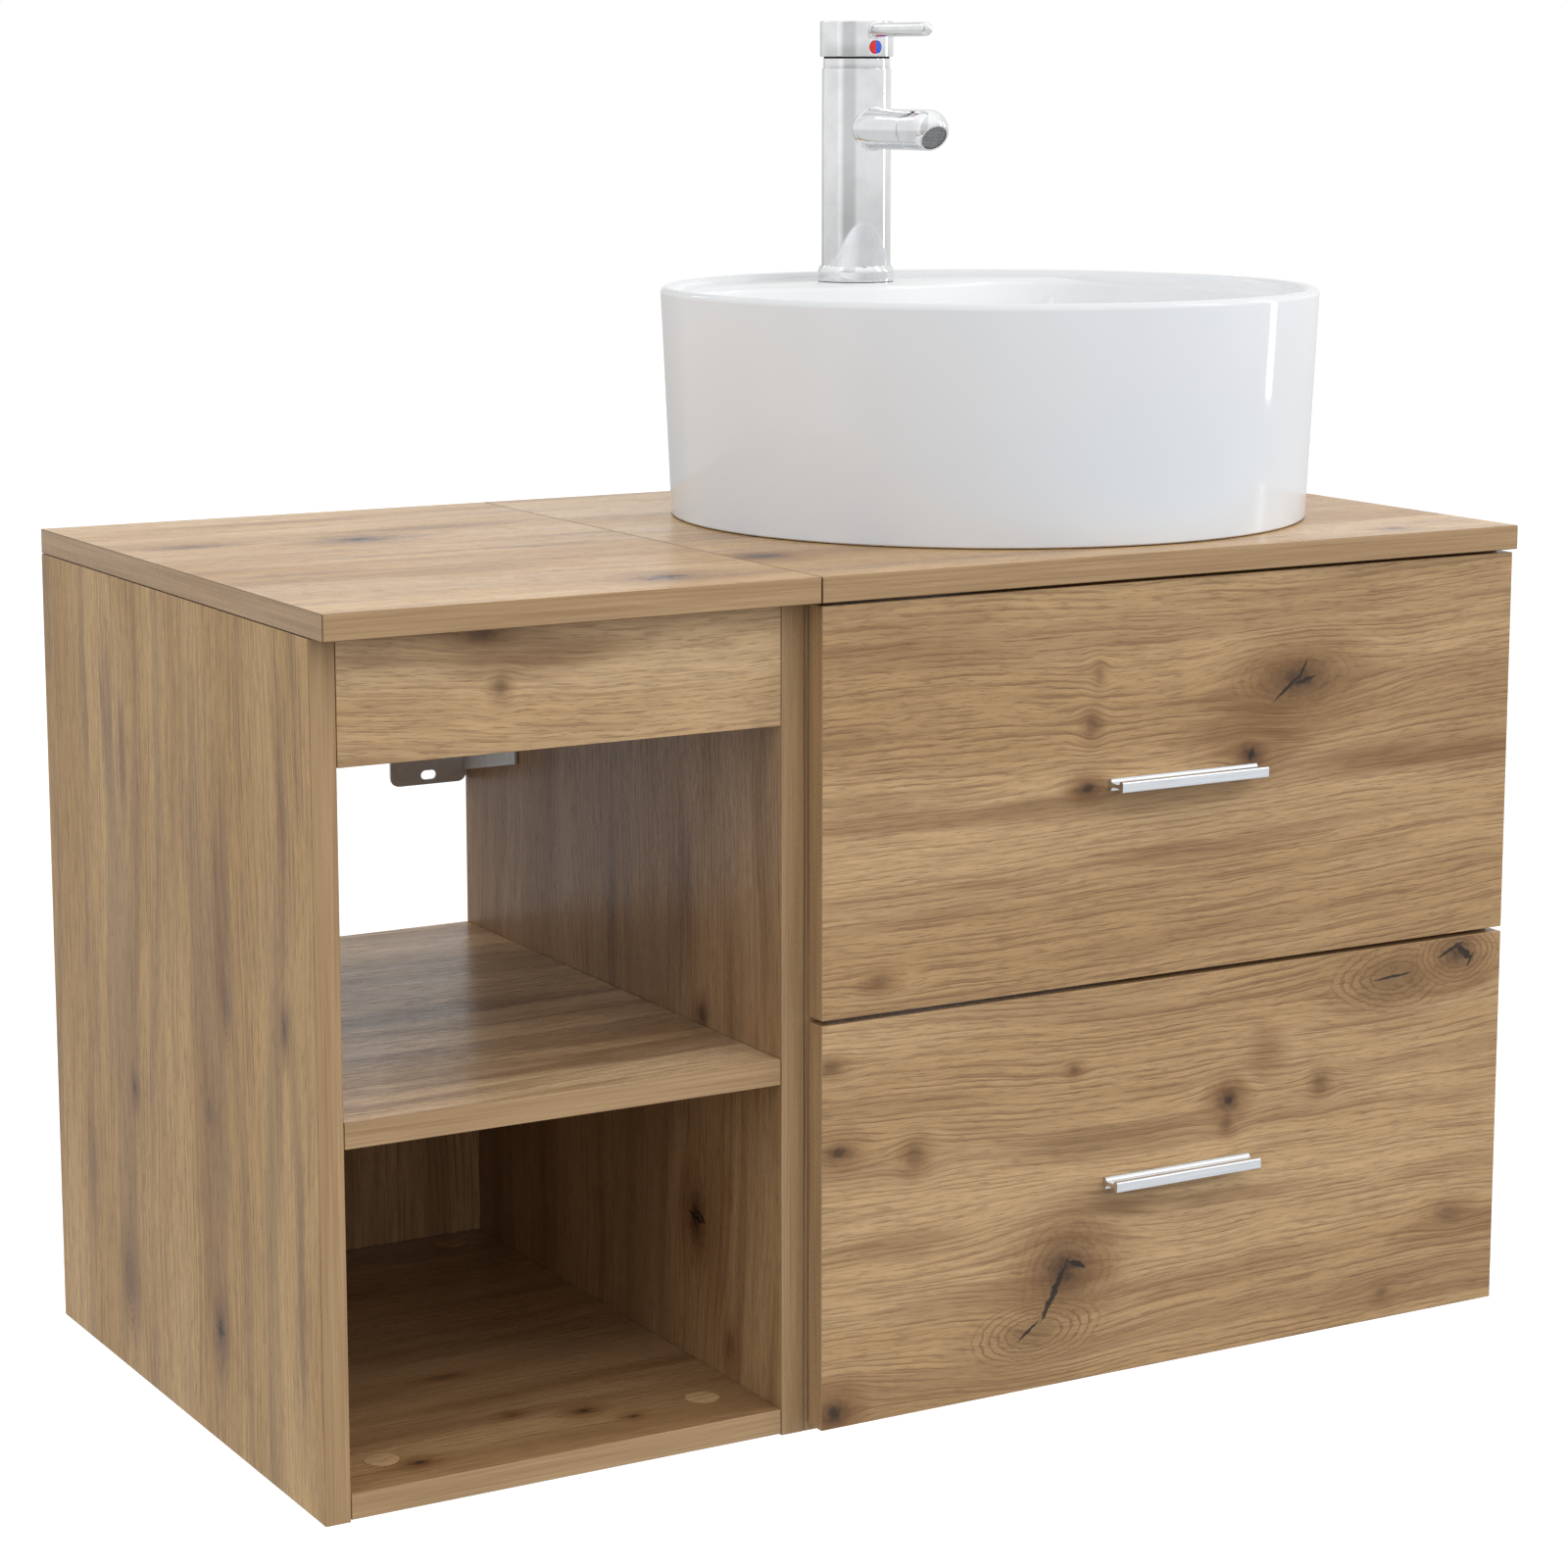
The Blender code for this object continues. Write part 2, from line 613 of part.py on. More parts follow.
def basin_inside(mouth, floor, deck, deck_share):
    low = BASIN_FLOOR - BASIN_FLOOR_FALL
    ledge = deck - BASIN_LEDGE_DROP * (1 - deck_share)
    rounding = 2 * BASIN_LEDGE_DROP - MOUTH_LIFT * deck_share
    return [
        (WASTE_HOLE_RADIUS, low),
        (WASTE_FLANGE_RADIUS + FLANGE_MARGIN, low),
        (floor - BASIN_FLOOR_EDGE, BASIN_FLOOR),
        *[(floor + out, BASIN_FLOOR + up) for out, up in BASIN_HEEL],
        (mouth - BASIN_WALL_LEAN, deck - BASIN_WALL_TOP),
        (mouth, ledge - rounding),
        (mouth + BASIN_DECK_SHOULDER * deck_share, ledge),
        (BASIN_INNER_RADIUS + LEDGE_INSET, ledge),
        (BASIN_INNER_RADIUS + LIP_INSET, BASIN_HEIGHT - BASIN_LIP),
    ]


def build_basin():
    """A loft round the axis through sections that change where the tap deck is."""
    shape = bmesh.new()
    rings = []
    for i in range(BASIN_SEGMENTS):
        angle = 2 * math.pi * i / BASIN_SEGMENTS
        from_rear = min(angle, 2 * math.pi - angle)
        across, back = math.sin(angle), math.cos(angle)
        section = basin_section(from_rear)
        rings.append([shape.verts.new((r * across, r * back, z)) for r, z in section])
    count = len(rings[0])
    for ring, following in zip(rings, rings[1:] + rings[:1]):
        for j in range(count):
            k = (j + 1) % count
            shape.faces.new((ring[j], ring[k], following[k], following[j]))
    bmesh.ops.recalc_face_normals(shape, faces=shape.faces)
    mesh = bpy.data.meshes.new("basin")
    shape.to_mesh(mesh)
    shape.free()
    basin = add_part("basin", mesh, CERAMIC, (BASIN_X, BASIN_Y, WORKTOP_Z + GAP))
    shade(basin)
    cut_round_hole(
        basin, (BASIN_X, TAP_Y, WORKTOP_Z + TAP_DECK), TAP_HOLE_RADIUS, 4 * BASIN_DECK_THICKNESS
    )


def add_turned(name, profile, material, y, segments=ROUND, closed=False):
    """A turned piece on a vertical axis, its heights above the worktop."""
    mesh = turned_mesh(name, profile, segments, closed)
    part = add_part(name, mesh, material, (BASIN_X, y, WORKTOP_Z))
    shade(part)
    return part


def build_waste():
    seat = BASIN_FLOOR - BASIN_FLOOR_FALL + 2 * GAP
    flange_top = seat + WASTE_FLANGE_HEIGHT
    tail = WASTE_TAIL_Z - WORKTOP_Z
    bore = WASTE_BORE_RADIUS
    body = [
        (bore + WASTE_COUNTERSINK, flange_top),
        (WASTE_FLANGE_RADIUS - WASTE_BEVEL, flange_top),
        (WASTE_FLANGE_RADIUS, seat),
        (WASTE_TUBE_RADIUS, seat),
        (WASTE_TUBE_RADIUS, tail),
        (bore, tail),
        (bore, flange_top - WASTE_COUNTERSINK),
    ]
    add_turned("waste_body", body, CHROME, BASIN_Y, closed=True)
    seal_top = -BOARD - GAP
    hole = WASTE_TUBE_RADIUS + GAP
    seal = [
        (hole, seal_top),
        (SEAL_RADIUS, seal_top),
        (SEAL_RADIUS, seal_top - SEAL_HEIGHT),
        (hole, seal_top - SEAL_HEIGHT),
    ]
    add_turned("waste_seal", seal, RUBBER, BASIN_Y, closed=True)
    nut_z = WORKTOP_Z + seal_top - SEAL_HEIGHT - GAP - WASTE_NUT_HEIGHT / 2
    outlines = [circle((0, 0), WASTE_NUT_RADIUS, 6), circle((0, 0), hole)]
    mesh = plate_mesh("waste_nut", outlines, WASTE_NUT_HEIGHT)
    add_part("waste_nut", mesh, BRASS, (BASIN_X, BASIN_Y, nut_z))
    build_plug(flange_top)


def build_plug(flange_top):
    """A domed cap that covers the flange, with a skirt that slides in the bore."""
    base = flange_top + GAP
    edge = WASTE_FLANGE_RADIUS - PLUG_INSET
    skirt = WASTE_BORE_RADIUS - PLUG_PLAY
    dome = []
    for i in range(PLUG_DOME_STEPS):
        share = i / PLUG_DOME_STEPS
        dome.append((edge * share, base + PLUG_RISE * (1 - PLUG_DOME_SHARE * share**3)))
    profile = dome + [
        (edge, base + PLUG_EDGE),
        (edge, base),
        (skirt, base),
        (skirt, base - PLUG_SKIRT),
        (0, base - PLUG_SKIRT),
    ]
    plug = add_turned("waste_plug", profile, CHROME, BASIN_Y)
    attach([plug], add_axis("waste_plug_slide", plug.location))


# Tap


def build_tap_body():
    base = TAP_DECK + 2 * GAP
    hole = TAP_RADIUS + GAP
    slope_in, slope_down = TAP_BASE_SLOPE
    ring_top = base + TAP_BASE_HEIGHT
    ring = [
        (hole, ring_top),
        (TAP_BASE_RADIUS - slope_in, ring_top),
        (TAP_BASE_RADIUS, ring_top - slope_down),
        (TAP_BASE_RADIUS, base),
        (hole, base),
    ]
    add_turned("tap_base_ring", ring, CHROME, TAP_Y, TAP_SEGMENTS, closed=True)
    seat = CARTRIDGE_RADIUS + SEAT_PLAY
    seat_floor = CARTRIDGE_FLOOR - CARTRIDGE_BASE - CARTRIDGE_PLAY
    body = [
        (0, seat_floor),
        (seat, seat_floor),
        (seat, TAP_BODY_TOP),
        (TAP_RADIUS, TAP_BODY_TOP),
        (TAP_RADIUS, base),
        (TAP_HOLE_RADIUS, base),
        (TAP_HOLE_RADIUS, base + TAP_BORE_DEPTH),
        (0, base + TAP_BORE_DEPTH),
    ]
    add_turned("tap_body", body, CHROME, TAP_Y, TAP_SEGMENTS)
    neck = CARTRIDGE_NECK + CARTRIDGE_PLAY
    collar = [
        (neck, TAP_COLLAR_TOP),
        (TAP_COLLAR_RADIUS, TAP_COLLAR_TOP),
        (TAP_COLLAR_RADIUS, TAP_BODY_TOP + GAP),
        (neck, TAP_BODY_TOP + GAP),
    ]
    add_turned("tap_collar", collar, CHROME, TAP_Y, TAP_SEGMENTS, closed=True)


def build_cartridge():
    shoulder = TAP_BODY_TOP - CARTRIDGE_INSET
    top = TAP_COLLAR_TOP - CARTRIDGE_INSET
    base = CARTRIDGE_FLOOR - CARTRIDGE_BASE
    cartridge = [
        (0, CARTRIDGE_FLOOR),
        (CARTRIDGE_BORE, CARTRIDGE_FLOOR),
        (CARTRIDGE_BORE, top),
        (CARTRIDGE_NECK, top),
        (CARTRIDGE_NECK, shoulder),
        (CARTRIDGE_RADIUS, shoulder),
        (CARTRIDGE_RADIUS, base),
        (0, base),
    ]
    add_turned("tap_cartridge", cartridge, PLASTIC, TAP_Y)


def build_spindle():
    """A fork that turns in the cartridge, with the pin on which the cap's stem lifts."""
    radius = CARTRIDGE_BORE - SPINDLE_PLAY
    top = TAP_PIVOT + SPINDLE_RISE
    base = CARTRIDGE_FLOOR + GAP
    profile = [(0, top), (radius, top), (radius, base), (0, base)]
    spindle = add_turned("tap_spindle", profile, BRASS, TAP_Y)
    half = TAP_STEM_RADIUS + FORK_PLAY
    slot = [(-half, -FORK_DEPTH), (half, -FORK_DEPTH), (half, FORK_TOP), (-half, FORK_TOP)]
    pivot = (BASIN_X, TAP_Y, WORKTOP_Z + TAP_PIVOT)
    mesh = plate_mesh("tap_spindle_slot", [slot], 4 * radius, "Y")
    combine(spindle, cutter("tap_spindle_slot_cutter", mesh, pivot))
    outline = circle((0, 0), TAP_PIN_RADIUS, PIN_SEGMENTS)
    mesh = plate_mesh("tap_spindle_pin", [outline], 2 * radius - PIN_INSET, "X")
    combine(spindle, cutter("tap_spindle_pin_body", mesh, pivot), "UNION")
    return spindle


def build_cap():
    """The lever cap: a hollow cap with a solid crown and, under it, the stem on the pin."""
    inner = TAP_CAP_RADIUS - TAP_CAP_WALL
    crown = TAP_CAP_TOP - TAP_CAP_CROWN
    profile = [
        (0, TAP_CAP_TOP),
        (TAP_CAP_RADIUS - TAP_CAP_BEVEL, TAP_CAP_TOP),
        (TAP_CAP_RADIUS, TAP_CAP_TOP - TAP_CAP_BEVEL),
        (TAP_CAP_RADIUS, TAP_CAP_BASE),
        (inner, TAP_CAP_BASE),
        (inner, crown),
        (TAP_STEM_RADIUS, crown),
        (TAP_STEM_RADIUS, TAP_PIVOT - TAP_STEM_DROP),
        (0, TAP_PIVOT - TAP_STEM_DROP),
    ]
    cap = add_turned("tap_cap", profile, CHROME, TAP_Y, TAP_SEGMENTS)
    outline = circle((0, 0), TAP_PIN_HOLE_RADIUS, PIN_SEGMENTS)
    mesh = plate_mesh("tap_pin_hole", [outline], TAP_PIN_HOLE_LENGTH, "X")
    combine(cap, cutter("tap_pin_hole_cutter", mesh, (BASIN_X, TAP_Y, WORKTOP_Z + TAP_PIVOT)))
    front = (BASIN_X, TAP_Y - TAP_CAP_RADIUS, WORKTOP_Z + INDICATOR_HEIGHT)
    outline = circle((0, 0), INDICATOR_RADIUS + GAP, LEVER_SEGMENTS)
    mesh = plate_mesh("tap_recess", [outline], 2 * RECESS_DEPTH, "Y")
    combine(cap, cutter("tap_recess_cutter", mesh, front))
    return cap


def build_indicator():
    outline = circle((0, 0), INDICATOR_RADIUS, LEVER_SEGMENTS)
    mesh = plate_mesh("tap_indicator", [outline], INDICATOR_THICKNESS, "Y")
    y = TAP_Y - TAP_CAP_RADIUS + INDICATOR_DEPTH
    return add_part("tap_indicator", mesh, MARK, (BASIN_X, y, WORKTOP_Z + INDICATOR_HEIGHT))


def forward(mesh):
    """Turns a mesh so that its own -Z looks forward, along -Y."""
    mesh.transform(Matrix.Rotation(math.radians(-90), 4, "X"))
    return mesh


def build_lever():
    """A round pin with a flared root on the cap and a rounded tip."""
    root = TAP_CAP_RADIUS + GAP
    tip = TAP_LEVER_REACH
    radius = TAP_LEVER_RADIUS
    wider, length = TAP_LEVER_ROOT
    profile = [(0, -root), (radius + wider, -root), (radius, -root - length)]
    profile += [(r, -z) for r, z in arc((0, tip - radius), radius, 0, 90, 5)]
    profile[-1] = (0, -tip)
    lever = add_part("tap_lever", forward(turned_mesh("tap_lever", profile, LEVER_SEGMENTS)), CHROME)
    lever.location = (BASIN_X, TAP_Y, WORKTOP_Z + TAP_LEVER_HEIGHT)
    shade(lever)
    return lever


def build_spout():
    """A level tube with a round end, cut off where the outlet looks forward and down."""
    radius = TAP_SPOUT_RADIUS
    seam = TAP_SEAM_REACH
    end = TAP_SPOUT_REACH
    groove = TAP_SEAM_DEPTH
    profile = [(0, 0), (radius, 0), (radius, groove - seam), (radius - groove, -seam)]
    profile.append((radius, -seam - groove))
    profile += [(r, -z) for r, z in arc((0, end), radius, 0, 90, 8)]
    profile[-1] = (0, -end - radius)
    spout = add_part("tap_spout", forward(turned_mesh("tap_spout", profile)), CHROME)
    spout.location = (BASIN_X, TAP_Y, WORKTOP_Z + TAP_SPOUT_HEIGHT)
    shade(spout)
    outline = circle((0, 0), TAP_RADIUS + GAP, TAP_SEGMENTS)
    mesh = plate_mesh("tap_body_clearance", [outline], 4 * radius)
    combine(spout, cutter("tap_body_cutter", mesh, spout.location))
    face = math.sqrt(radius**2 - TAP_OUTLET_RADIUS**2)
    cut = outlet_cylinder("outlet_plane", 2 * radius, OUTLET_CUT, face + OUTLET_CUT / 2)
    combine(spout, cutter("outlet_plane_cutter", cut))
    seat = outlet_cylinder("aerator_seat", AERATOR_RADIUS + GAP, 2 * AERATOR_DEPTH, face)
    combine(spout, cutter("aerator_seat_cutter", seat))
    thickness = AERATOR_DEPTH - GAP - AERATOR_INSET
    middle = face - AERATOR_DEPTH + GAP + thickness / 2
    aerator = outlet_cylinder("tap_aerator", AERATOR_RADIUS, thickness, middle)
    add_part("tap_aerator", aerator, STEEL)


def outlet_cylinder(name, radius, length, distance):
    """A round bar on the outlet's axis, its middle at a distance from the round end's centre."""
    mesh = plate_mesh(name, [circle((0, 0), radius)], length, "Y")
    centre = Vector((BASIN_X, TAP_Y - TAP_SPOUT_REACH, WORKTOP_Z + TAP_SPOUT_HEIGHT))
    turn = Matrix.Rotation(TAP_OUTLET_ANGLE, 4, "X")
    out = turn @ Vector((0, -1, 0))
    mesh.transform(Matrix.Translation(centre + distance * out) @ turn)
    return mesh


def build_tap_fixing():
    """A stud up into the body, and the nut that clamps it under the basin's deck."""
    y = TAP_Y + STUD_Y
    top = TAP_DECK + TAP_BORE_DEPTH
    stud = [(0, top), (STUD_RADIUS, top), (STUD_RADIUS, STUD_BASE), (0, STUD_BASE)]
    add_turned("tap_stud", stud, STEEL, y, STUD_SEGMENTS)
    outlines = [
        circle((0, 0), FIXING_NUT_RADIUS, LEVER_SEGMENTS),
        circle((0, 0), STUD_RADIUS + GAP, STUD_SEGMENTS),
    ]
    nut_z = WORKTOP_Z + TAP_DECK - BASIN_DECK_THICKNESS - GAP - FIXING_NUT_HEIGHT / 2
    mesh = plate_mesh("tap_fixing_nut", outlines, FIXING_NUT_HEIGHT)
    add_part("tap_fixing_nut", mesh, BRASS, (BASIN_X, y, nut_z))


def build_tap():
    build_tap_body()
    build_cartridge()
    build_spout()
    build_tap_fixing()
    spindle = build_spindle()
    lifted = [build_cap(), build_lever(), build_indicator()]
    turn_axis = add_axis("tap_turn", (BASIN_X, TAP_Y, WORKTOP_Z + TAP_PIVOT))
    lift_axis = add_axis("tap_lift", turn_axis.location)
    attach([spindle, lift_axis], turn_axis)
    attach(lifted, lift_axis)


clear_scene()
PARTS = new_collection("vanity_with_vessel_basin")
CUTTERS = new_collection("cutters")
OAK = new_material("oak_laminate", (0.50, 0.34, 0.19), 0.45)
ZINC = new_material("zinc_plated_steel", (0.58, 0.60, 0.62), 0.38, 1)
ALUMINIUM = new_material("satin_aluminium", (0.80, 0.82, 0.85), 0.35, 1)
CERAMIC = new_material("glazed_ceramic", (0.90, 0.90, 0.90), 0.08)
CHROME = new_material("chrome", (0.86, 0.87, 0.88), 0.06, 1)
STEEL = new_material("brushed_steel", (0.45, 0.46, 0.47), 0.35, 1)
BRASS = new_material("brass", (0.72, 0.57, 0.28), 0.35, 1)
RUBBER = new_material("rubber", (0.03, 0.03, 0.03), 0.8)
PLASTIC = new_material("cartridge_plastic", (0.75, 0.75, 0.72), 0.45)
MARK = new_material("indicator_plastic", (0.75, 0.10, 0.08), 0.3)

build_open_unit()
build_sink_unit()
build_drawer("upper")
build_drawer("lower")
build_basin()
build_waste()
build_tap()
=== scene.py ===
"""The looks of a wall-hung bathroom vanity: oak laminate boards, satin bar handles, a glazed round
vessel basin and a chrome single-lever tap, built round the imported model. Metres, in its frame."""

import math

import bmesh
import bpy
from mathutils import Matrix, Vector


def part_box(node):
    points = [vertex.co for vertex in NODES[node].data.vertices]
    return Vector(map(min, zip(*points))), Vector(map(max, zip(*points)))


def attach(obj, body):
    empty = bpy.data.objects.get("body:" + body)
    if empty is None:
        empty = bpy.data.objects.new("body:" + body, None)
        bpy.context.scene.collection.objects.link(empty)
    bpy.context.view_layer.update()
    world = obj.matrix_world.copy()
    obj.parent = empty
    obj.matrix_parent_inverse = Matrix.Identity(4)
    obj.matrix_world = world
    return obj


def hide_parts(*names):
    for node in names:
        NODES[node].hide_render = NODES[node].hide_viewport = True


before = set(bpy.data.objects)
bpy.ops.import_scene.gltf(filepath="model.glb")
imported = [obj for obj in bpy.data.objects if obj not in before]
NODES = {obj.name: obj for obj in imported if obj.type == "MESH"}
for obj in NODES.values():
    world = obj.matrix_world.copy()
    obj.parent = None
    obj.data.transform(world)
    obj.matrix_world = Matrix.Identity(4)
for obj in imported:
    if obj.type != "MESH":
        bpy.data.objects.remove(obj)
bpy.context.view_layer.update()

# Camera: at eye level in front of the left end, looking down a little
CAMERA_PLACE = (-1.317, -2.250, 0.324)
CAMERA_YAW = math.radians(29.90)
CAMERA_PITCH = math.radians(9.35)
CAMERA_LENS = 87.7
CAMERA_SHIFT = -0.05

FLOOR_Z = -1.25
FLOOR_SIZE = 40.0

# The studio dome's strength below, around and overhead, and its softboxes as (direction towards the
# box, cosine of its spread, strength)
DOME_BELOW = 0.30
DOME_LEVEL = 0.84
DOME_ZENITH = 0.62
SOFTBOXES = [((0.85, -0.75, 0.50), 0.72, 1.2), ((-0.95, -0.35, 0.05), 0.75, 0.55)]

# What a mirror sees of the studio: pale walls, a darker floor, and upright bands as (direction,
# cosine of the near edge, cosine of the far edge, strength), two of them grey flags, one bright
MIRROR_WALL = 0.90
MIRROR_FLOOR = 0.72
MIRROR_SKY = 0.25
MIRROR_BANDS = [
    ((-0.84, -0.54), 0.97, 0.86, -0.22),
    ((0.10, 1.0), 0.99, 0.93, -0.2),
    ((-0.99, -0.10), 0.995, 0.97, 0.12),
]

# Area lights as (name, place, (width, height), watts)
LIGHT_AIM = (0.0, -0.2, 0.1)
LIGHTS = [
    ("strip_front", (2.3, -1.9, 1.9), (0.35, 1.6), 8),
    ("strip_side", (3.0, -0.78, 0.75), (0.20, 2.0), 7),
    ("strip_rear", (-0.7, 2.2, 1.7), (0.08, 1.2), 2),
]

MM = 0.001
FINE = 96  # segments round a turned piece
OUTLET_ANGLE = math.radians(35)  # the spout's outlet looks this far down from level
SCREEN_PITCH = 1.1 * MM  # from wire to wire of the screen in it


def linear(*srgb):
    """An sRGB colour of 0 to 255 as linear values with alpha."""
    values = [c / 255 for c in srgb]
    return (*[c / 12.92 if c <= 0.04045 else ((c + 0.055) / 1.055) ** 2.4 for c in values], 1)


# Shader nodes


class Graph:
    """A node tree, with short calls that add a node and give its output socket."""

    def __init__(self, name, kind="materials", shader="Principled BSDF"):
        self.material = getattr(bpy.data, kind).new(name)
        self.material.use_nodes = True
        self.tree = self.material.node_tree
        self.shader = self.tree.nodes[shader]

    def put(self, socket, value):
        if isinstance(value, bpy.types.NodeSocket):
            self.tree.links.new(value, socket)
        else:
            socket.default_value = value

    def add(self, kind, inputs, **settings):
        node = self.tree.nodes.new("ShaderNode" + kind)
        for name, value in settings.items():
            setattr(node, name, value)
        for name, value in inputs.items():
            self.put(node.inputs[name], value)
        return node

    def place(self):
        return self.add("TexCoord", {}).outputs["Object"]

    def facing(self):
        return self.add("TexCoord", {}).outputs["Normal"]

    def parts(self, vector):
        return list(self.add("SeparateXYZ", {0: vector}).outputs)

    def join(self, x, y, z):
        return self.add("CombineXYZ", {0: x, 1: y, 2: z}).outputs[0]

    def calc(self, operation, first, *others):
        """One Math node for each further value, or one in all for a single value."""
        for other in others or (0.0,):
            first = self.add("Math", {0: first, 1: other}, operation=operation).outputs[0]
        return first

    def total(self, *values):
        return self.calc("ADD", *values)

    def product(self, *values):
        return self.calc("MULTIPLY", *values)

    def noise(self, vector, scale, detail, roughness=0.5, offset=(0, 0, 0)):
        """Noise of one scale, or of three on an offset place."""
        if isinstance(scale, tuple):
            vector = self.add("Mapping", {0: vector, 1: offset, 3: scale}).outputs[0]
            scale = 1.0
        inputs = {"Vector": vector, "Scale": scale, "Detail": detail, "Roughness": roughness}
        return self.add("TexNoise", inputs).outputs["Fac"]

    def fit(self, value, low, high, to_low=0.0, to_high=1.0):
        """Remaps a value smoothly from one range to another, clamped at the ends."""
        inputs = {"Value": value, 1: low, 2: high, 3: to_low, 4: to_high}
        return self.add("MapRange", inputs, interpolation_type="SMOOTHSTEP").outputs[0]

    def mix(self, factor, a, b):
        node = self.add("Mix", {}, data_type="RGBA")
        for index, value in ((0, factor), (6, a), (7, b)):
            self.put(node.inputs[index], value)
        return node.outputs[2]

    def blend(self, factor, a, b):
        return self.add("Mix", {0: factor, 2: a, 3: b}).outputs[0]

    def dot(self, vector, direction):
        """The cosine between a unit vector and a direction."""
        inputs = {0: vector, 1: Vector(direction).normalized()}
        return self.add("VectorMath", inputs, operation="DOT_PRODUCT").outputs["Value"]

    def bump(self, height, distance, strength=1.0):
        inputs = {"Strength": strength, "Distance": distance, "Height": height}
        self.put(self.shader.inputs["Normal"], self.add("Bump", inputs).outputs[0])

    def surface(self, **values):
        """Sets the shader's own sockets, named with _ for a space."""
        for name, value in values.items():
            self.put(self.shader.inputs[name.replace("_", " ")], value)
        return self.material


# Oak laminate

OAK_PALE = (linear(208, 174, 130), linear(188, 153, 109))
# Painted shade: a darker, warmer copy of the oak for the outer left side, offsetting its grazing sheen
OAK_SHADED_LEFT_SIDE = (linear(206, 166, 104), linear(187, 146, 86))
# Painted shade: a darker, warmer copy of the oak for the tops, offsetting their grazing sheen
OAK_SHADED_TOPS = (linear(202, 164, 110), linear(182, 143, 90))
# Painted light: a lighter copy of the oak for the fascia, shaded by the top's overhang, and the shelf
OAK_LIT_FASCIA_SHELF = (linear(226, 193, 150), linear(206, 171, 127))
OAK_DARK = linear(131, 99, 67)
OAK_PORE = linear(106, 78, 52)
OAK_STREAK = linear(132, 98, 64)
BAND_LIGHT = linear(190, 158, 119)
BAND_MID = linear(174, 142, 104)
# Painted shade: a darker copy of the oak for the open unit's inner right side and bottom
OAK_SHADED_INSIDE = (linear(188, 153, 112), linear(167, 132, 93))
HALO_BROWN = linear(122, 84, 50)
KNOT_BROWN = linear(84, 58, 40)
KNOT_BLACK = linear(38, 32, 27)

